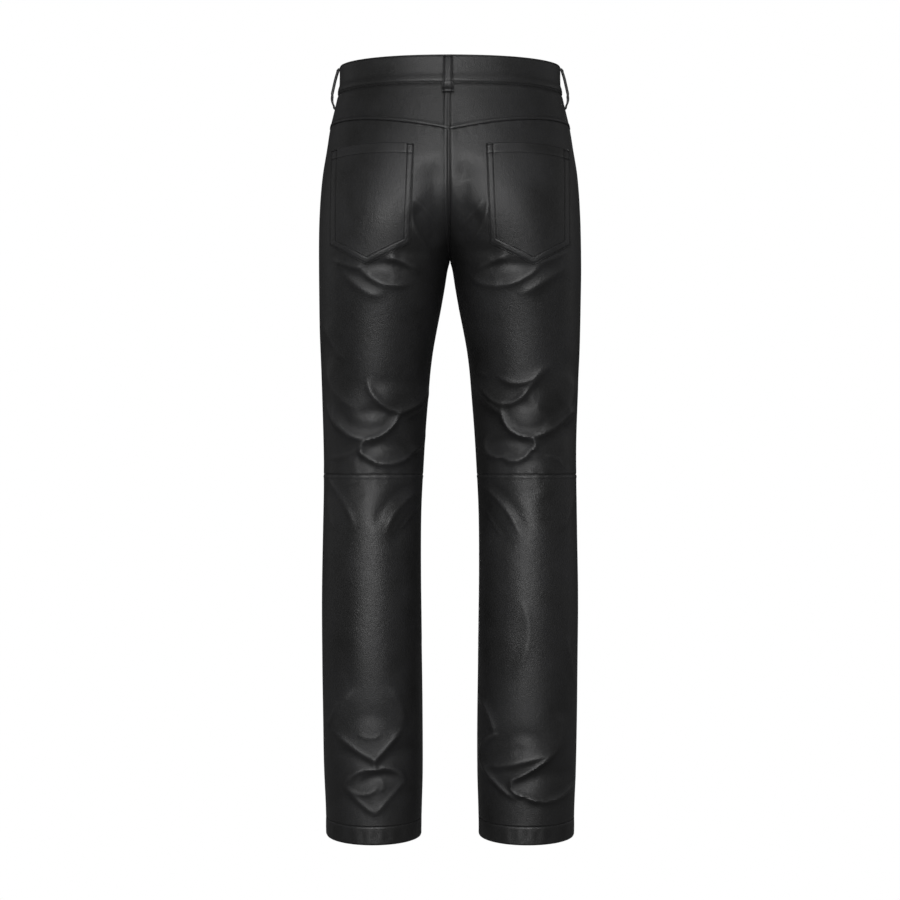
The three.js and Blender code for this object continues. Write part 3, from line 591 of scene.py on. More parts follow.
def leatherMaterial(name, look):
    # Nappa cowhide, aniline dyed black and lightly buffed: a soft broad sheen over fine pebbled grain
    material, tree, shader = newMaterial(name)
    place = addNode(tree, "ShaderNodeTexCoord").outputs["Object"]
    mottle = noiseAt(tree, place, look["mottleMm"], {"Detail": 4.0, "Roughness": 0.55})
    ramp = addNode(tree, "ShaderNodeValToRGB", links={"Fac": mottle})
    for element, tone in zip(ramp.color_ramp.elements, ("dark", "light")):
        element.position, element.color = look[tone + "At"], linear(look[tone])
    # painted highlight on ridges and painted shade in hollows, carried by the specular level; the roughness
    # follows it a little
    paintedSheenShade = addNode(tree, "ShaderNodeAttribute", {"attribute_name": "paintedSheenShade"}).outputs["Fac"]
    paintedGloss = spread(tree, paintedSheenShade, {"From Min": -1.0, "From Max": 1.0, "To Min": 0.5 - look["paintedSheenStrength"],
                                  "To Max": 0.5 + look["paintedSheenStrength"]})
    sheen = spread(tree, mottle, {"From Min": 0.3, "From Max": 0.7, "To Min": look["roughLow"],
                                  "To Max": look["roughHigh"]})
    rough = addNode(tree, "ShaderNodeMath", {"operation": "MULTIPLY_ADD"}, {0: paintedSheenShade, 2: sheen})
    rough.inputs[1].default_value = look["sheenShadeRough"]
    grain = addNode(tree, "ShaderNodeTexVoronoi",
                    {"feature": "DISTANCE_TO_EDGE", "Scale": 1000 / look["grainMm"]}, {"Vector": place})
    creases = noiseAt(tree, place, look["creaseMm"], {"Detail": 5.0, "Roughness": 0.6, "Distortion": 0.6})
    pebbles = spread(tree, grain.outputs[0], {"From Min": 0.0, "From Max": 0.25})
    pores = noiseAt(tree, place, look["poreMm"], {"Detail": 2.0})
    links = {}
    for (strength, depth), height in zip(look["bumps"], (creases, pebbles, pores)):
        links = {"Height": height, **links}
        bump = addNode(tree, "ShaderNodeBump", {"Strength": strength, "Distance": depth}, links)
        links = {"Normal": bump.outputs[0]}
    links = {"Base Color": ramp.outputs["Color"], "Specular IOR Level": paintedGloss, "Roughness": rough.outputs[0],
             **links}
    setNode(tree, shader, {"IOR": look["ior"]}, links)
    return material


def plainMaterial(name, code, roughness, noiseMm, metallic=0.0, bump=0.1):
    material, tree, shader = newMaterial(name)
    place = addNode(tree, "ShaderNodeTexCoord").outputs["Object"]
    noise = noiseAt(tree, place, noiseMm, {"Detail": 3.0})
    bumped = addNode(tree, "ShaderNodeBump", {"Strength": bump, "Distance": 0.0002}, {"Height": noise})
    setNode(tree, shader, {"Base Color": linear(code), "Roughness": roughness, "Metallic": metallic},
            {"Normal": bumped.outputs[0]})
    return material


buildStudio()
print("studio ready")
nappa = leatherMaterial("nappaLeather", leatherLook)
nappaPatch = leatherMaterial("nappaLeatherPatch", {**leatherLook, "mottleMm": 60.0, "light": "#272728"})
thread = plainMaterial("bondedPolyesterThread", "#0c0c0d", 0.85, 0.5)  # waxed black sewing thread
zipTape = plainMaterial("wovenPolyesterTape", "#161617", 0.9, 0.5, bump=0.3)
gunmetal = plainMaterial("gunmetalBrass", "#4b4b4d", 0.32, 4.0, metallic=1.0)  # blackened, then tumbled
print("materials ready")

# Panels

panel = {
    "spacing": 2.1,  # between points on the back
    "frontSpacing": 4.6, "edgeStops": (0, 0.5, 1.1, 1.9, 3.0, 4.4, 5.8, 7.0, 7.9, 8.7, 9.8, 11.8),
    "hemStops": (20.5, 22.0, 23.0, 23.8, 24.4, 25.0, 25.6, 26.2, 27.0, 28.0, 29.5), "hemRamp": 0.8,
    "seamRoll": 0.6,  # how deep a seam's edges turn in
    "seamRollWidth": 1.3,
    "seamEnd": 7.0,  # a level seam's roll fades this far from the side
    "lapWidth": 8.6,  # raised lap at the centre back
    "lapHeight": 0.8, "lapRamp": 1.1,
    "lapEnd": 8.0,  # it dies away over this height at the crotch
    "yokeLap": 5.6,
    "stitchSink": 0.6, "stitchWidth": 0.8, "yokeRows": (1.0, 4.6), "centreRows": (2.7, 8.0),
    "flyWidth": 42.0, "flyBottom": -190.0, "flyCurve": 42.0, "flyHeight": 0.7, "flyRamp": 1.5,
    "flyRows": (3.0, 9.0),
}
ridges = {  # soft ridges and, below zero, grooves along edges: height, distance in from the edge, width
    "hemLine": (-0.7, form["hemTurn"], 0.9), "hemEdge": (-0.9, 0, 1), "belowKnee": (0.4, 3, 1.8),
    "underBand": (-0.9, 0, 2.4),  # the yoke is pulled in below the waistband
    "bandTop": (-0.8, 0, 0.8), "bandFoot": (-1.2, 0, 1.2), "bandGroove": (-0.4, 2, 1.5),
    "loopEdge": (-0.8, 0, 0.7), "pocketEdge": (-0.9, 0, 0.7),
}
puckers = {  # small waves along sewn edges: how far in they reach, their height and their length
    "yokeSeam": (9, 0.1, 17), "kneeAbove": (10, 0.2, 21), "kneeBelow": (12, 0.2, 19), "hem": (9, 0.3, 19),
    "pocket": (3, 0.12, 9),
}
wearerSides = {"left": 1, "right": -1}
stitchRows = []  # lines for the thread, in millimetres


def stopsAlong(length, spacing, edges=panel["edgeStops"]):
    edge = [s for s in edges if s < length / 3]
    steps = max(int((length - 2 * edge[-1]) / spacing), 2)
    middle = np.linspace(edge[-1], length - edge[-1], steps + 1)[1:-1]
    return np.array(edge + list(middle) + [length - e for e in reversed(edge)])


def yokeSeamZ(share):
    drop = (form["yokeCentreZ"] - form["yokeSideZ"]) * share ** form["yokeBend"]
    return form["yokeSideZ"] + drop + form["yokeArch"] * np.sin(math.pi * share)


def level(z):
    return lambda share: np.zeros_like(np.asarray(share, float)) + z


def hemEdge(face):
    dip = form["hemDip"] if face > 0 else 0.0
    return lambda share: form["hemZ"] - dip * np.sin(math.pi * np.asarray(share, float))


def rolled(distance, amount=1.0):
    return -amount * panel["seamRoll"] * hump(distance, panel["seamRollWidth"])


def raisedLap(distance, width):
    return panel["lapHeight"] * smooth((width - distance) / panel["lapRamp"] + 0.5)


def sunk(distance, rows):
    return sum(-panel["stitchSink"] * hump(distance - row, panel["stitchWidth"]) for row in rows)


def ridge(distance, name):
    height, centre, width = ridges[name]
    return height * hump(distance - centre, width)


def pucker(along, distance, edge):
    reach, height, pitch = puckers[edge]
    return height * np.sin(along * 2 * math.pi / pitch + np.sin(along / 17)) * hump(distance, reach)


def flyEdge(z, inward=0.0):
    # distance from the centre front to the edge of the fly's facing, which curves in at its foot
    foot = panel["flyBottom"] + inward
    q = np.clip((foot + panel["flyCurve"] - z) / panel["flyCurve"], 0, 1)
    return (panel["flyWidth"] - inward) * np.sqrt(1 - q * q)


def panelPiece(name, side, face, topAt, bottomAt, reliefAt, strips=(), stops=()):
    spacing = panel["spacing"] if face > 0 else panel["frontSpacing"]
    widest = float(wholeLength(face, (topAt(0.5) + bottomAt(0.5)) / 2))
    shares = stopsAlong(widest, spacing) / widest
    height = float(topAt(1.0) - bottomAt(1.0))
    down = stopsAlong(height, spacing)
    if stops:
        kept = (down < height - stops[-1] - 1) | (down > height - stops[0] + 1)
        down = np.sort(np.concatenate([down[kept], height - np.array(stops)]))
    down = down / height
    share = np.broadcast_to(shares, (len(down), len(shares)))
    top, bottom = topAt(shares), bottomAt(shares)
    z = top[None, :] + (bottom - top)[None, :] * down[:, None]
    whole = wholeLength(face, z)
    relief = reliefAt(top[None, :] - z, z - bottom[None, :], share * whole, (1 - share) * whole, z)
    turned = smooth((hemEdge(face)(share) + form["hemTurn"] - z) / panel["hemRamp"])
    wall = form["leather"] + (form["hemLeather"] - form["leather"]) * turned
    outer = surface(side, face, share, z, relief)
    inner = surface(side, face, share, z, np.minimum(relief, 0) * 0.5, -wall)
    settle(name, [wallMesh(outer, inner), *strips], nappa, outer)


# Seam allowances, pressed open and glued down inside, so that no seam lets light through

allowance = {"half": 6.0, "thickness": 0.9, "clear": 0.2, "pitch": 6.0, "end": 2.0, "columns": 5}


def seamStrip(pointAt, along):
    across = np.linspace(-allowance["half"], allowance["half"], allowance["columns"])
    near = form["leather"] + allowance["clear"]
    return wallMesh(*[np.stack([pointAt(offset, along, -depth) for offset in across], 1)
                      for depth in (near, near + allowance["thickness"])])


def sideSeam(side, share):
    # across the side seam (share 0) or the inseam (share 1)
    def pointAt(offset, z, out):
        face = 1 if offset >= 0 else -1
        inward = np.abs(offset) / wholeLength(face, z)
        return surface(side, face, np.abs(share - inward), z, 0.0, out)
    return pointAt


def centreSeam(face):
    def pointAt(offset, z, out):
        side = 1 if offset >= 0 else -1
        point = surface(side, face, 1 - np.abs(offset) / wholeLength(face, z), z, 0.0, out)
        if offset == 0:
            point[..., 0] = 0
        return point
    return pointAt


def levelSeam(side, face, seamAt):
    return seamStrip(lambda offset, share, out: surface(side, face, share, seamAt(share) + offset, 0.0, out),
                     np.linspace(0.02, 0.98, 41))


def upright(pointAt, top, bottom):
    return seamStrip(pointAt, np.linspace(top, bottom, int((top - bottom) / allowance["pitch"]) + 1))


def buildPanels():
    gap, end = form["seamGap"] / 2, allowance["end"]
    panelTop = form["bandBottom"] - form["seamGap"]
    knee, hem, crotch = form["kneeSeamZ"], form["hemZ"], form["crotchZ"]

    def sides(fromSide, fromMiddle):
        return rolled(fromSide) + rolled(fromMiddle)

    def levelRoll(distance, fromSide, fromMiddle, amount=1.0):
        reach = panel["seamEnd"]
        return rolled(distance, amount) * smooth(fromSide / reach) * smooth(fromMiddle / reach)

    for word, side in wearerSides.items():

        def centreLap(fromMiddle, z):
            if side < 0:
                return 0.0
            above = smooth((z - crotch) / panel["lapEnd"])
            return (raisedLap(fromMiddle, panel["lapWidth"]) + sunk(fromMiddle, panel["centreRows"])) * above

        def yokeRelief(fromTop, fromBottom, fromSide, fromMiddle, z):
            across = raisedLap(fromBottom, panel["yokeLap"]) + sunk(fromBottom, panel["yokeRows"])
            across = np.maximum(across, centreLap(fromMiddle, z))
            return sides(fromSide, fromMiddle) + across + ridge(fromTop, "underBand")

        def seatRelief(fromTop, fromBottom, fromSide, fromMiddle, z):
            wrinkled = pucker(fromSide, fromTop, "yokeSeam") + pucker(fromSide, fromBottom, "kneeAbove")
            return (sides(fromSide, fromMiddle) + levelRoll(fromTop, fromSide, fromMiddle, 0.4)
                    + levelRoll(fromBottom, fromSide, fromMiddle) + centreLap(fromMiddle, z) + wrinkled)

        def shinRelief(fromTop, fromBottom, fromSide, fromMiddle, z):
            wrinkled = pucker(fromSide, fromTop, "kneeBelow")
            hemWave = pucker(fromSide, fromBottom - form["hemTurn"] / 2, "hem")
            return (sides(fromSide, fromMiddle) + levelRoll(fromTop, fromSide, fromMiddle) + wrinkled
                    + ridge(fromBottom, "hemLine") + hemWave + ridge(fromBottom, "hemEdge")
                    + ridge(fromTop, "belowKnee"))

        def frontRelief(fromTop, fromBottom, fromSide, fromMiddle, z):
            fly = 0.0
            if side > 0:
                inside = smooth((flyEdge(z) - fromMiddle) / panel["flyRamp"] + 0.5)
                fly = panel["flyHeight"] * inside * smooth((z - panel["flyBottom"] + 2) / 4)
            return sides(fromSide, fromMiddle) + levelRoll(fromBottom, fromSide, fromMiddle) + fly

        upperStrips = [
            upright(sideSeam(side, 0.0), panelTop - 3, knee + gap),
            upright(sideSeam(side, 1.0), crotch - end, knee + gap),
            levelSeam(side, 1, yokeSeamZ),
            levelSeam(side, 1, level(knee)),
        ]
        if side > 0:
            upperStrips.append(upright(centreSeam(1), panelTop - 3, crotch + end))
            upperStrips.append(upright(centreSeam(-1), panel["flyBottom"] - end, crotch + end))
        lowerStrips = [upright(sideSeam(side, share), knee - gap, hem + form["hemTurn"] + end)
                       for share in (0.0, 1.0)]
        panelPiece("back_yoke_" + word, side, 1, level(panelTop), lambda share: yokeSeamZ(share) + gap,
                   yokeRelief)
        panelPiece("back_upper_" + word, side, 1, lambda share: yokeSeamZ(share) - gap, level(knee + gap),
                   seatRelief, upperStrips)
        panelPiece("back_lower_" + word, side, 1, level(knee - gap), hemEdge(1), shinRelief, lowerStrips,
                   panel["hemStops"])
        panelPiece("front_upper_" + word, side, -1, level(panelTop), level(knee + gap), frontRelief,
                   [levelSeam(side, -1, level(knee))])
        panelPiece("front_lower_" + word, side, -1, level(knee - gap), hemEdge(-1), shinRelief,
                   stops=panel["hemStops"])


panelRows = {
    "points": 90,  # along each row
    "lift": 0.3,  # of the thread above the leather round it
    "hemSink": 0.35, "end": 2.0, "centrePoints": 80,
    "straightPoints": 40,  # down the fly, and round its foot
    "curvePoints": 30, "flyEnd": 0.08,
}


def sewPanels():
    lift, count = panelRows["lift"], panelRows["points"]
    top, flyFoot = form["bandBottom"] - panelRows["end"], panel["flyBottom"] + panel["flyCurve"]
    for side in (1, -1):
        lapShare = panel["lapWidth"] / float(wholeLength(1, -95)) if side > 0 else 0.005
        shares = np.linspace(0.01, 1 - lapShare, count)
        for row in panel["yokeRows"]:
            stitchRows.append(surface(side, 1, shares, yokeSeamZ(shares) + row, 0.0, lift))
        shares = np.linspace(0.002, 0.998, count)
        for face in (1, -1):
            z = hemEdge(face)(shares) + form["hemTurn"]
            stitchRows.append(surface(side, face, shares, z, 0.0, -panelRows["hemSink"]))
    down = np.linspace(top, form["crotchZ"] + panelRows["end"], panelRows["centrePoints"])
    for row in panel["centreRows"]:
        stitchRows.append(surface(1, 1, 1 - row / wholeLength(1, down), down, 0.0, lift))
    turn = np.linspace(0, math.pi / 2 - panelRows["flyEnd"], panelRows["curvePoints"])
    for row in panel["flyRows"]:
        straight = np.linspace(top, flyFoot + row, panelRows["straightPoints"])
        z = np.concatenate([straight, panel["flyBottom"] + row + panel["flyCurve"] * (1 - np.sin(turn))])
        share = 1 - flyEdge(z, row) / wholeLength(-1, z)
        stitchRows.append(surface(1, -1, share, z, 0.0, panel["flyHeight"]))


buildPanels()
sewPanels()
print("panels ready")

# Waistband

band = {
    "lapEndX": -4.0, "underEndX": 34.0, "lapRamp": 14.0, "lapClear": 2.0, "spacing": 3.4,
    "stops": (0, 0.4, 0.9, 1.6, 2.5, 3.4, 4.4, 5.8), "downSpacing": 2.6,
    "rowPoints": 420, "topRow": 1.7, "bottomRow": 2.9,
    "deepRow": 1.6,  # the lower row sinks in this much more
    "creaseZ": -28.6,  # the band bulges out below this level, under a soft groove
    "bulge": 0.55,
}


def bandPoint(way, z, out):
    way, z, out = np.broadcast_arrays(np.asarray(way, float), z, out)
    frontWay, backWay = wholeLength(-1, z), wholeLength(1, z)
    half = frontWay + backWay
    wrapped = np.where(np.abs(way) > half, way - 2 * half * np.sign(way), way)
    sides = np.where(wrapped < 0, -1, 1)
    turned = np.abs(wrapped)
    faces = np.where(turned < frontWay, -1, 1)
    share = np.where(faces < 0, 1 - turned / frontWay, (turned - frontWay) / backWay)
    point = np.zeros(way.shape + (3,))
    for side in (1, -1):
        for face in (1, -1):
            chosen = (sides == side) & (faces == face)
            if chosen.any():
                point[chosen] = surface(side, face, share[chosen], z[chosen], 0.0, out[chosen])
    middle = (turned < form["seamGap"]) | (turned > half - form["seamGap"])
    point[..., 0] = np.where(middle, 0, point[..., 0])
    return point


def bandTravel(travel, z):
    # travel runs from 0 at the centre front by the wearer's right to -2 back there; the band rises at its lap
    half = wholeLength(-1, z) + wholeLength(1, z)
    way = np.where(travel < -1, travel + 2, travel) * half
    rampStart = band["underEndX"] + band["lapClear"] + band["lapRamp"]
    rise = smooth((rampStart - way) / band["lapRamp"]) * (travel < -1)
    return way, rise * (form["bandLeather"] + form["seamGap"])


def bandRelief(z):
    fromTop, fromBottom = -z, z - form["bandBottom"]
    rows = sunk(fromTop, (band["topRow"],)) + band["deepRow"] * sunk(fromBottom, (band["bottomRow"],))
    below = smooth((band["creaseZ"] - z) / 3.5 + 0.5) * smooth(fromBottom / 6 + 0.2)
    return (ridge(fromTop, "bandTop") + ridge(fromBottom, "bandFoot") + rows + band["bulge"] * below
            + ridge(z - band["creaseZ"], "bandGroove"))


def buildWaistband():
    whole = float(wholeLength(-1, 0.0) + wholeLength(1, 0.0))
    start, end = band["underEndX"] / whole, -2 + band["lapEndX"] / whole
    length = (start - end) * whole
    travel = start - stopsAlong(length, band["spacing"], band["stops"]) / whole
    z = -stopsAlong(-form["bandBottom"], band["downSpacing"], band["stops"])
    travel, z = np.meshgrid(travel, z)
    way, rise = bandTravel(travel, z)
    relief = bandRelief(z) + ridge((travel - end) * whole, "bandTop")
    outer = bandPoint(way, z, form["bandProud"] + rise + relief)
    inner = bandPoint(way, z, form["bandProud"] + rise - form["bandLeather"])
    settle("waistband", [wallMesh(outer, inner)], nappa, outer)
    rowTop, rowFoot = -band["topRow"], form["bandBottom"] + band["bottomRow"]
    rowEnd = end + band["topRow"] / whole
    along = np.linspace(start - 4 / whole, rowEnd, band["rowPoints"])
    same = np.ones_like(along)
    down = np.linspace(rowTop, rowFoot, 20)
    for travel, z, sink in ((along, rowTop * same, 0.2), (along, rowFoot * same, 0.2),
                           (np.full(20, rowEnd), down, 0.1)):
        way, rise = bandTravel(travel, z)
        stitchRows.append(bandPoint(way, z, form["bandProud"] + rise - sink))


buildWaistband()
print("waistband ready")

# Belt loops

beltLoops = table("name side face share gap stretch", [
    ("belt_loop_back", 1, 1, 0.987, 7.0, 0.98),
    ("belt_loop_side_left", 1, 1, 0.0, 6.6, 1.07),
    ("belt_loop_side_right", -1, 1, 0.0, 6.6, 1.07),
    ("belt_loop_front_left", 1, -1, 0.66, 7.5, 1.0),
    ("belt_loop_front_right", -1, -1, 0.66, 7.5, 1.0),
])
loopProfile = table("z share", [
    (-1, 0), (-5, 0.22), (-10, 0.5), (-18, 0.82), (-27, 1), (-36, 1), (-43, 0.88), (-48, 0.5), (-51, 0.1),
    (-54, 0),
])
loops = {
    "width": 13.0,
    "flare": 3.4,  # wider at the foot, where it is pressed flat
    "flareZ": -38.0, "leather": 2.6,
    "pad": 0.25,  # the middle stands out a little between the rows
    "stops": (0, 0.4, 0.9, 1.5, 2.2, 3.0, 4.0), "rowIn": 1.7, "tackIn": 3.2,
}
tack = {
    "step": 0.7, "loopIn": 1.2, "loopLift": 0.1, "points": 14,
    "pocketLength": 8.0, "pocketDown": 2.2, "pocketLift": 0.5, "pocketPoints": 12,
}
tackRows = []  # lines of the bar tacks, which are sewn much closer


def loopPoint(loop, offset, z, out):
    at = np.minimum(z, 0)
    frontWay, backWay = wholeLength(-1, at), wholeLength(1, at)
    middle = frontWay * (1 - loop["share"]) if loop["face"] < 0 else frontWay + backWay * loop["share"]
    point = bandPoint(loop["side"] * (middle + offset), at, out)
    point[..., 2] += z - at
    return point


def loopOut(loop, z):
    sinks = np.interp(-z, [-form["bandBottom"] - 1, -form["bandBottom"] + 1], [form["bandProud"], 0])
    onLap = panel["lapHeight"] * smooth((form["bandBottom"] - z) / 3) * (loop["name"] == "belt_loop_back")
    stand = np.clip(curveThrough(loopProfile, "share")(z / loop["stretch"]), 0, 1)
    return sinks + form["seamGap"] + onLap + stand * loop["gap"]


def buildLoops():
    half, leather = loops["width"] / 2, loops["leather"]

    def spreadAt(z):
        return 1 + loops["flare"] / (2 * half) * smooth((loops["flareZ"] - z) / 10)

    for loop in beltLoops:
        top, bottom = loopProfile[0]["z"] * loop["stretch"], loopProfile[-1]["z"] * loop["stretch"]
        across = stopsAlong(2 * half, 1.2, loops["stops"]) / half - 1
        down = top - stopsAlong(top - bottom, 1.3, loops["stops"])
        across, z = np.meshgrid(across, down)
        offset = across * half * spreadAt(z)
        fromEdge = half * (1 - np.abs(across))
        fromEnd = np.minimum(top - z, z - bottom)
        relief = ridge(fromEdge, "loopEdge") + ridge(fromEnd, "loopEdge")
        relief += sunk(fromEdge, (loops["rowIn"],)) + loops["pad"] * smooth((fromEdge - 2.6) / 1.5)
        base = loopOut(loop, z)
        outer = loopPoint(loop, offset, z, base + leather + relief)
        inner = loopPoint(loop, offset, z, base)
        settle(loop["name"], [wallMesh(outer, inner)], nappaPatch, outer)
        line = np.linspace(top - 2.5, bottom + 2.5, 40)
        spread = (half - loops["rowIn"]) * spreadAt(line)
        for sign in (1, -1):
            stitchRows.append(loopPoint(loop, sign * spread, line, loopOut(loop, line) + leather - 0.2))
        for tackZ in (top - loops["tackIn"], bottom + loops["tackIn"]):
            for step in (-tack["step"], 0.0, tack["step"]):
                wide = np.linspace(tack["loopIn"] - half, half - tack["loopIn"], tack["points"])
                z = np.full(tack["points"], tackZ + step)
                tackRows.append(loopPoint(loop, wide, z, loopOut(loop, z) + leather + tack["loopLift"]))


buildLoops()
print("loops ready")

# Back pockets

pocket = {
    "topZ": -124.0, "innerX": 48.0, "outerX": 163.0, "lowInnerX": 53.0, "lowZ": -257.0,
    "pointX": 113.0, "pointZ": -286.0, "topRise": 2.5,
    "hem": 14.0,  # turned top edge, sewn down along its lower side
    "rows": (1.7, 9.2),  # stitch rows in from the sides and the foot
    "rowPoints": 60, "rowIn": 1.5, "threadOut": 0.25,
    "turned": 10.4,  # how wide the turned edges are
    "turnedHeight": 0.45, "turnedRamp": 1.2,
    "stops": (0, 0.4, 0.9, 1.6, 2.4, 3.4, 5.0, 6.8, 8.2, 9.1, 9.9, 10.7, 12.0, 13.2, 14.1, 15.0, 16.4),
    "spacing": 3.0,
}


def shareAtX(x, z):
    low, high = np.zeros_like(x), np.ones_like(x)
    for _ in range(22):
        middle = (low + high) / 2
        outside = sectionPoint(1, angleFor(1, middle, z), z)[..., 0] > x
        low, high = np.where(outside, middle, low), np.where(outside, high, middle)
    return (low + high) / 2


def pocketTop(x):
    q = (x - pocket["innerX"]) / (pocket["outerX"] - pocket["innerX"])
    return pocket["topZ"] + 4 * pocket["topRise"] * q * (1 - q)


def pocketFoot(x):
    xs = (pocket["lowInnerX"], pocket["pointX"], pocket["outerX"])
    return np.interp(x, xs, (pocket["lowZ"], pocket["pointZ"], pocket["lowZ"]))


def pocketInnerX(z):
    return np.interp(-z, (-pocket["topZ"], -pocket["lowZ"]), (pocket["innerX"], pocket["lowInnerX"]))


def footDistance(x, z):
    # distance inwards from the two slanting edges of the foot
    runZ = pocket["lowZ"] - pocket["pointZ"]
    distances = []
    for cornerX in (pocket["lowInnerX"], pocket["outerX"]):
        runX = cornerX - pocket["pointX"]
        outward = (z - pocket["pointZ"]) * abs(runX) - (x - pocket["pointX"]) * runZ * np.sign(runX)
        distances.append(outward / math.hypot(runX, runZ))
    return np.minimum(*distances)


def pocketOutline(inset):
    # the path of a stitch row: down one side, along both slants of the foot and up the other side
    low, point, far = pocket["lowInnerX"], pocket["pointX"], pocket["outerX"]
    topZ, drop = pocket["topZ"] - pocket["rowIn"], pocket["lowZ"] - pocket["pointZ"]
    slants = math.hypot(point - low, drop) / (point - low) + math.hypot(far - point, drop) / (far - point)
    lift = inset * slants / 2
    corners = [(pocket["innerX"] + inset, topZ), (low + inset, pocketFoot(low + inset) + lift),
               (point, pocket["pointZ"] + lift), (far - inset, pocketFoot(far - inset) + lift),
               (far - inset, topZ)]
    fraction = np.linspace(0, 1, pocket["rowPoints"])[:-1]
    path = [np.array(start) + np.outer(fraction, np.subtract(end, start))
            for start, end in zip(corners, corners[1:])]
    return np.concatenate([*path, corners[-1:]])


def onPocket(side, x, z, out):
    return surface(side, 1, shareAtX(x, z), z, 0.0, form["seamGap"] + form["patchLeather"] + out)


def buildPockets():
    width = pocket["outerX"] - pocket["innerX"]
    drop = pocket["topZ"] - (pocket["lowZ"] + pocket["pointZ"]) / 2
    across = stopsAlong(width, pocket["spacing"], pocket["stops"]) / width
    down = stopsAlong(drop, pocket["spacing"], pocket["stops"]) / drop
    across, down = np.meshgrid(across, down)
    z = pocket["topZ"] + (pocket["lowZ"] - pocket["topZ"]) * down
    for _ in range(6):  # the sides slant and the foot is pointed, so x and z are found together
        x = pocketInnerX(z) + (pocket["outerX"] - pocketInnerX(z)) * across
        z = pocketTop(x) + (pocketFoot(x) - pocketTop(x)) * down
    share = shareAtX(x, z)
    fromSides = np.minimum(x - pocketInnerX(z), pocket["outerX"] - x)
    fromEdge = np.minimum(fromSides, footDistance(x, z))
    fromTop = pocketTop(x) - z
    turned = np.maximum(smooth((pocket["turned"] - fromEdge) / pocket["turnedRamp"] + 0.5),
                        smooth((pocket["hem"] + 1 - fromTop) / pocket["turnedRamp"] + 0.5))
    edges = ridge(fromEdge, "pocketEdge") + ridge(fromTop, "pocketEdge")
    relief = pocket["turnedHeight"] * turned + edges + sunk(fromEdge, pocket["rows"])
    relief += sunk(fromTop, (pocket["hem"],))
    relief += pucker(x + z, fromEdge - 5, "pocket")
    low, high = pocket["innerX"] + pocket["rowIn"], pocket["outerX"] - pocket["rowIn"]
    hemX = np.linspace(low, high, pocket["rowPoints"])
    for word, side in wearerSides.items():
        outer = surface(side, 1, share, z, relief, form["seamGap"] + form["patchLeather"])
        inner = surface(side, 1, share, z, 0.0, form["seamGap"])
        settle("back_pocket_" + word, [wallMesh(outer, inner)], nappaPatch, outer)
        for inset in pocket["rows"]:
            stitchRows.append(onPocket(side, *pocketOutline(inset).T, pocket["threadOut"]))
        stitchRows.append(onPocket(side, hemX, pocketTop(hemX) - pocket["hem"], pocket["threadOut"]))
        for cornerX, way in ((low, 1), (high, -1)):
            for step in (0.0, tack["step"]):
                tackX = cornerX + way * np.linspace(0, tack["pocketLength"], tack["pocketPoints"])
                tackZ = pocketTop(tackX) - tack["pocketDown"] - step
                tackRows.append(onPocket(side, tackX, tackZ, tack["pocketLift"]))


buildPockets()
print("pockets ready")

# Sewing: stitches laid along the rows by Geometry Nodes

stitchLook = {
    "Pitch": 0.0030, "Stitch length": 0.0024, "Thread radius": 0.00038, "Seed": 7,
}


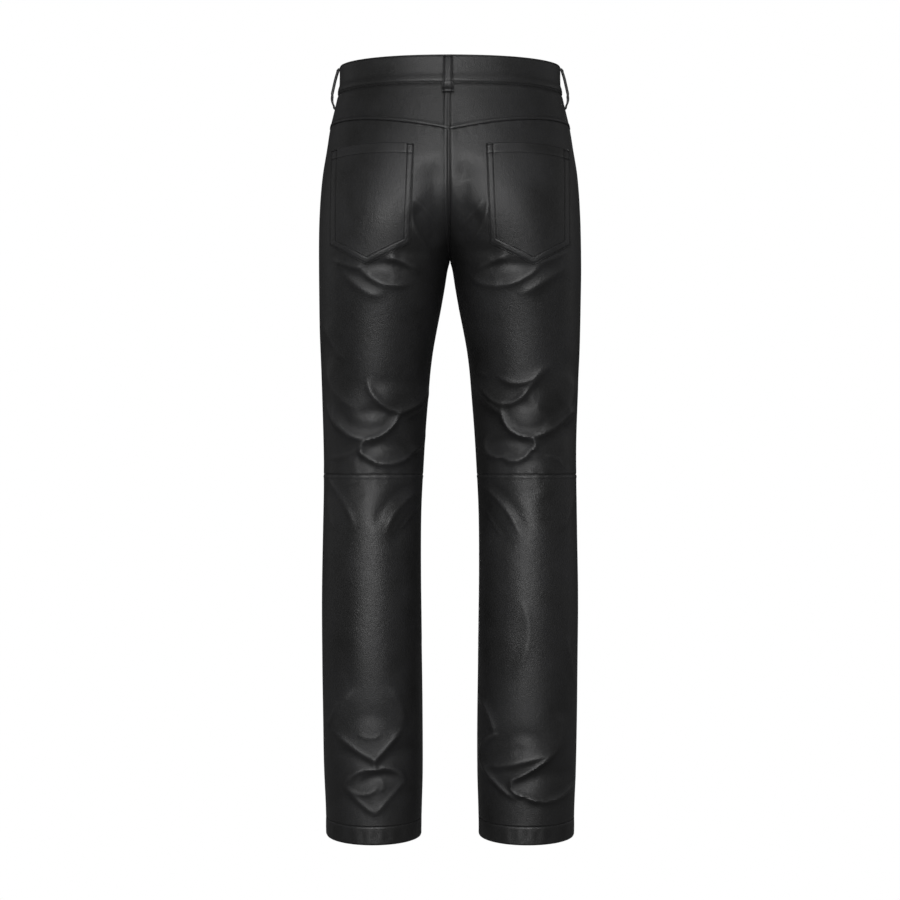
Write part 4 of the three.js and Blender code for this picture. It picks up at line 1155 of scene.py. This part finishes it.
def stitchTree(material):
    tree = bpy.data.node_groups.new("stitches along rows", "GeometryNodeTree")
    face = tree.interface
    face.new_socket("Geometry", in_out="INPUT", socket_type="NodeSocketGeometry")
    for name in stitchLook:
        kind = "NodeSocketInt" if name == "Seed" else "NodeSocketFloat"
        face.new_socket(name, in_out="INPUT", socket_type=kind)
    face.new_socket("Geometry", in_out="OUTPUT", socket_type="NodeSocketGeometry")
    given = addNode(tree, "NodeGroupInput").outputs
    rows = addNode(tree, "GeometryNodeMeshToCurve", links={"Mesh": given["Geometry"]})
    places = addNode(tree, "GeometryNodeCurveToPoints", {"mode": "LENGTH"},
                     {"Curve": rows.outputs[0], "Length": given["Pitch"]})
    ball = addNode(tree, "GeometryNodeMeshUVSphere", {"Segments": 6, "Rings": 4, "Radius": 1.0})
    halfLength = addNode(tree, "ShaderNodeMath", {"operation": "MULTIPLY"}, {0: given["Stitch length"]})
    halfLength.inputs[1].default_value = 0.5
    size = addNode(tree, "ShaderNodeCombineXYZ", links={
        "X": given["Thread radius"], "Y": given["Thread radius"], "Z": halfLength.outputs[0]})
    stitch = addNode(tree, "GeometryNodeTransform",
                     links={"Geometry": ball.outputs["Mesh"], "Scale": size.outputs[0]})
    uneven = addNode(tree, "FunctionNodeRandomValue", {"data_type": "FLOAT"}, {"Seed": given["Seed"]})
    for socket in uneven.inputs:
        if socket.type == "VALUE" and socket.name in ("Min", "Max"):
            socket.default_value = 0.9 if socket.name == "Min" else 1.1
    laid = addNode(tree, "GeometryNodeInstanceOnPoints", links={
        "Points": places.outputs["Points"], "Instance": stitch.outputs[0],
        "Rotation": places.outputs["Rotation"],
        "Scale": [socket for socket in uneven.outputs if socket.enabled][0]})
    real = addNode(tree, "GeometryNodeRealizeInstances", links={"Geometry": laid.outputs[0]})
    painted = addNode(tree, "GeometryNodeSetMaterial", {"Material": material}, {"Geometry": real.outputs[0]})
    addNode(tree, "NodeGroupOutput", links={"Geometry": painted.outputs[0]})
    return tree


def rowsObject(name, rows):
    edges, start = [], 0
    for row in rows:
        edges += [(start + k, start + k + 1) for k in range(len(row) - 1)]
        start += len(row)
    mesh = bpy.data.meshes.new(name + "Rows")
    mesh.from_pydata((np.concatenate(rows) * mm).tolist(), edges, [])
    return addObject(name + "Rows", mesh)


def sew(name, rows, inputs):
    carrier = rowsObject(name, rows)
    modifier = carrier.modifiers.new("stitches", "NODES")
    modifier.node_group = stitchTree(thread)
    for item in modifier.node_group.interface.items_tree:
        if item.in_out == "INPUT" and item.name in inputs:
            modifier[item.identifier] = inputs[item.name]
    carrier.update_tag()
    bpy.context.view_layer.update()
    mesh = bpy.data.meshes.new_from_object(carrier.evaluated_get(bpy.context.evaluated_depsgraph_get()))
    mesh.shade_smooth()
    bpy.data.objects.remove(carrier)
    piece = addObject(name, mesh)
    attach(piece, "root")


sew("topstitching", stitchRows, stitchLook)
sew("barTacks", tackRows, {**stitchLook, "Pitch": 0.0011, "Stitch length": 0.0015})
print("sewing ready")

# Solids that stay as they are, with their own materials

for name, material in (("fly_zip", zipTape), ("fly_shield", nappa), ("waist_button", gunmetal)):
    for slotHere in bpy.data.objects[name].material_slots:
        slotHere.material = material
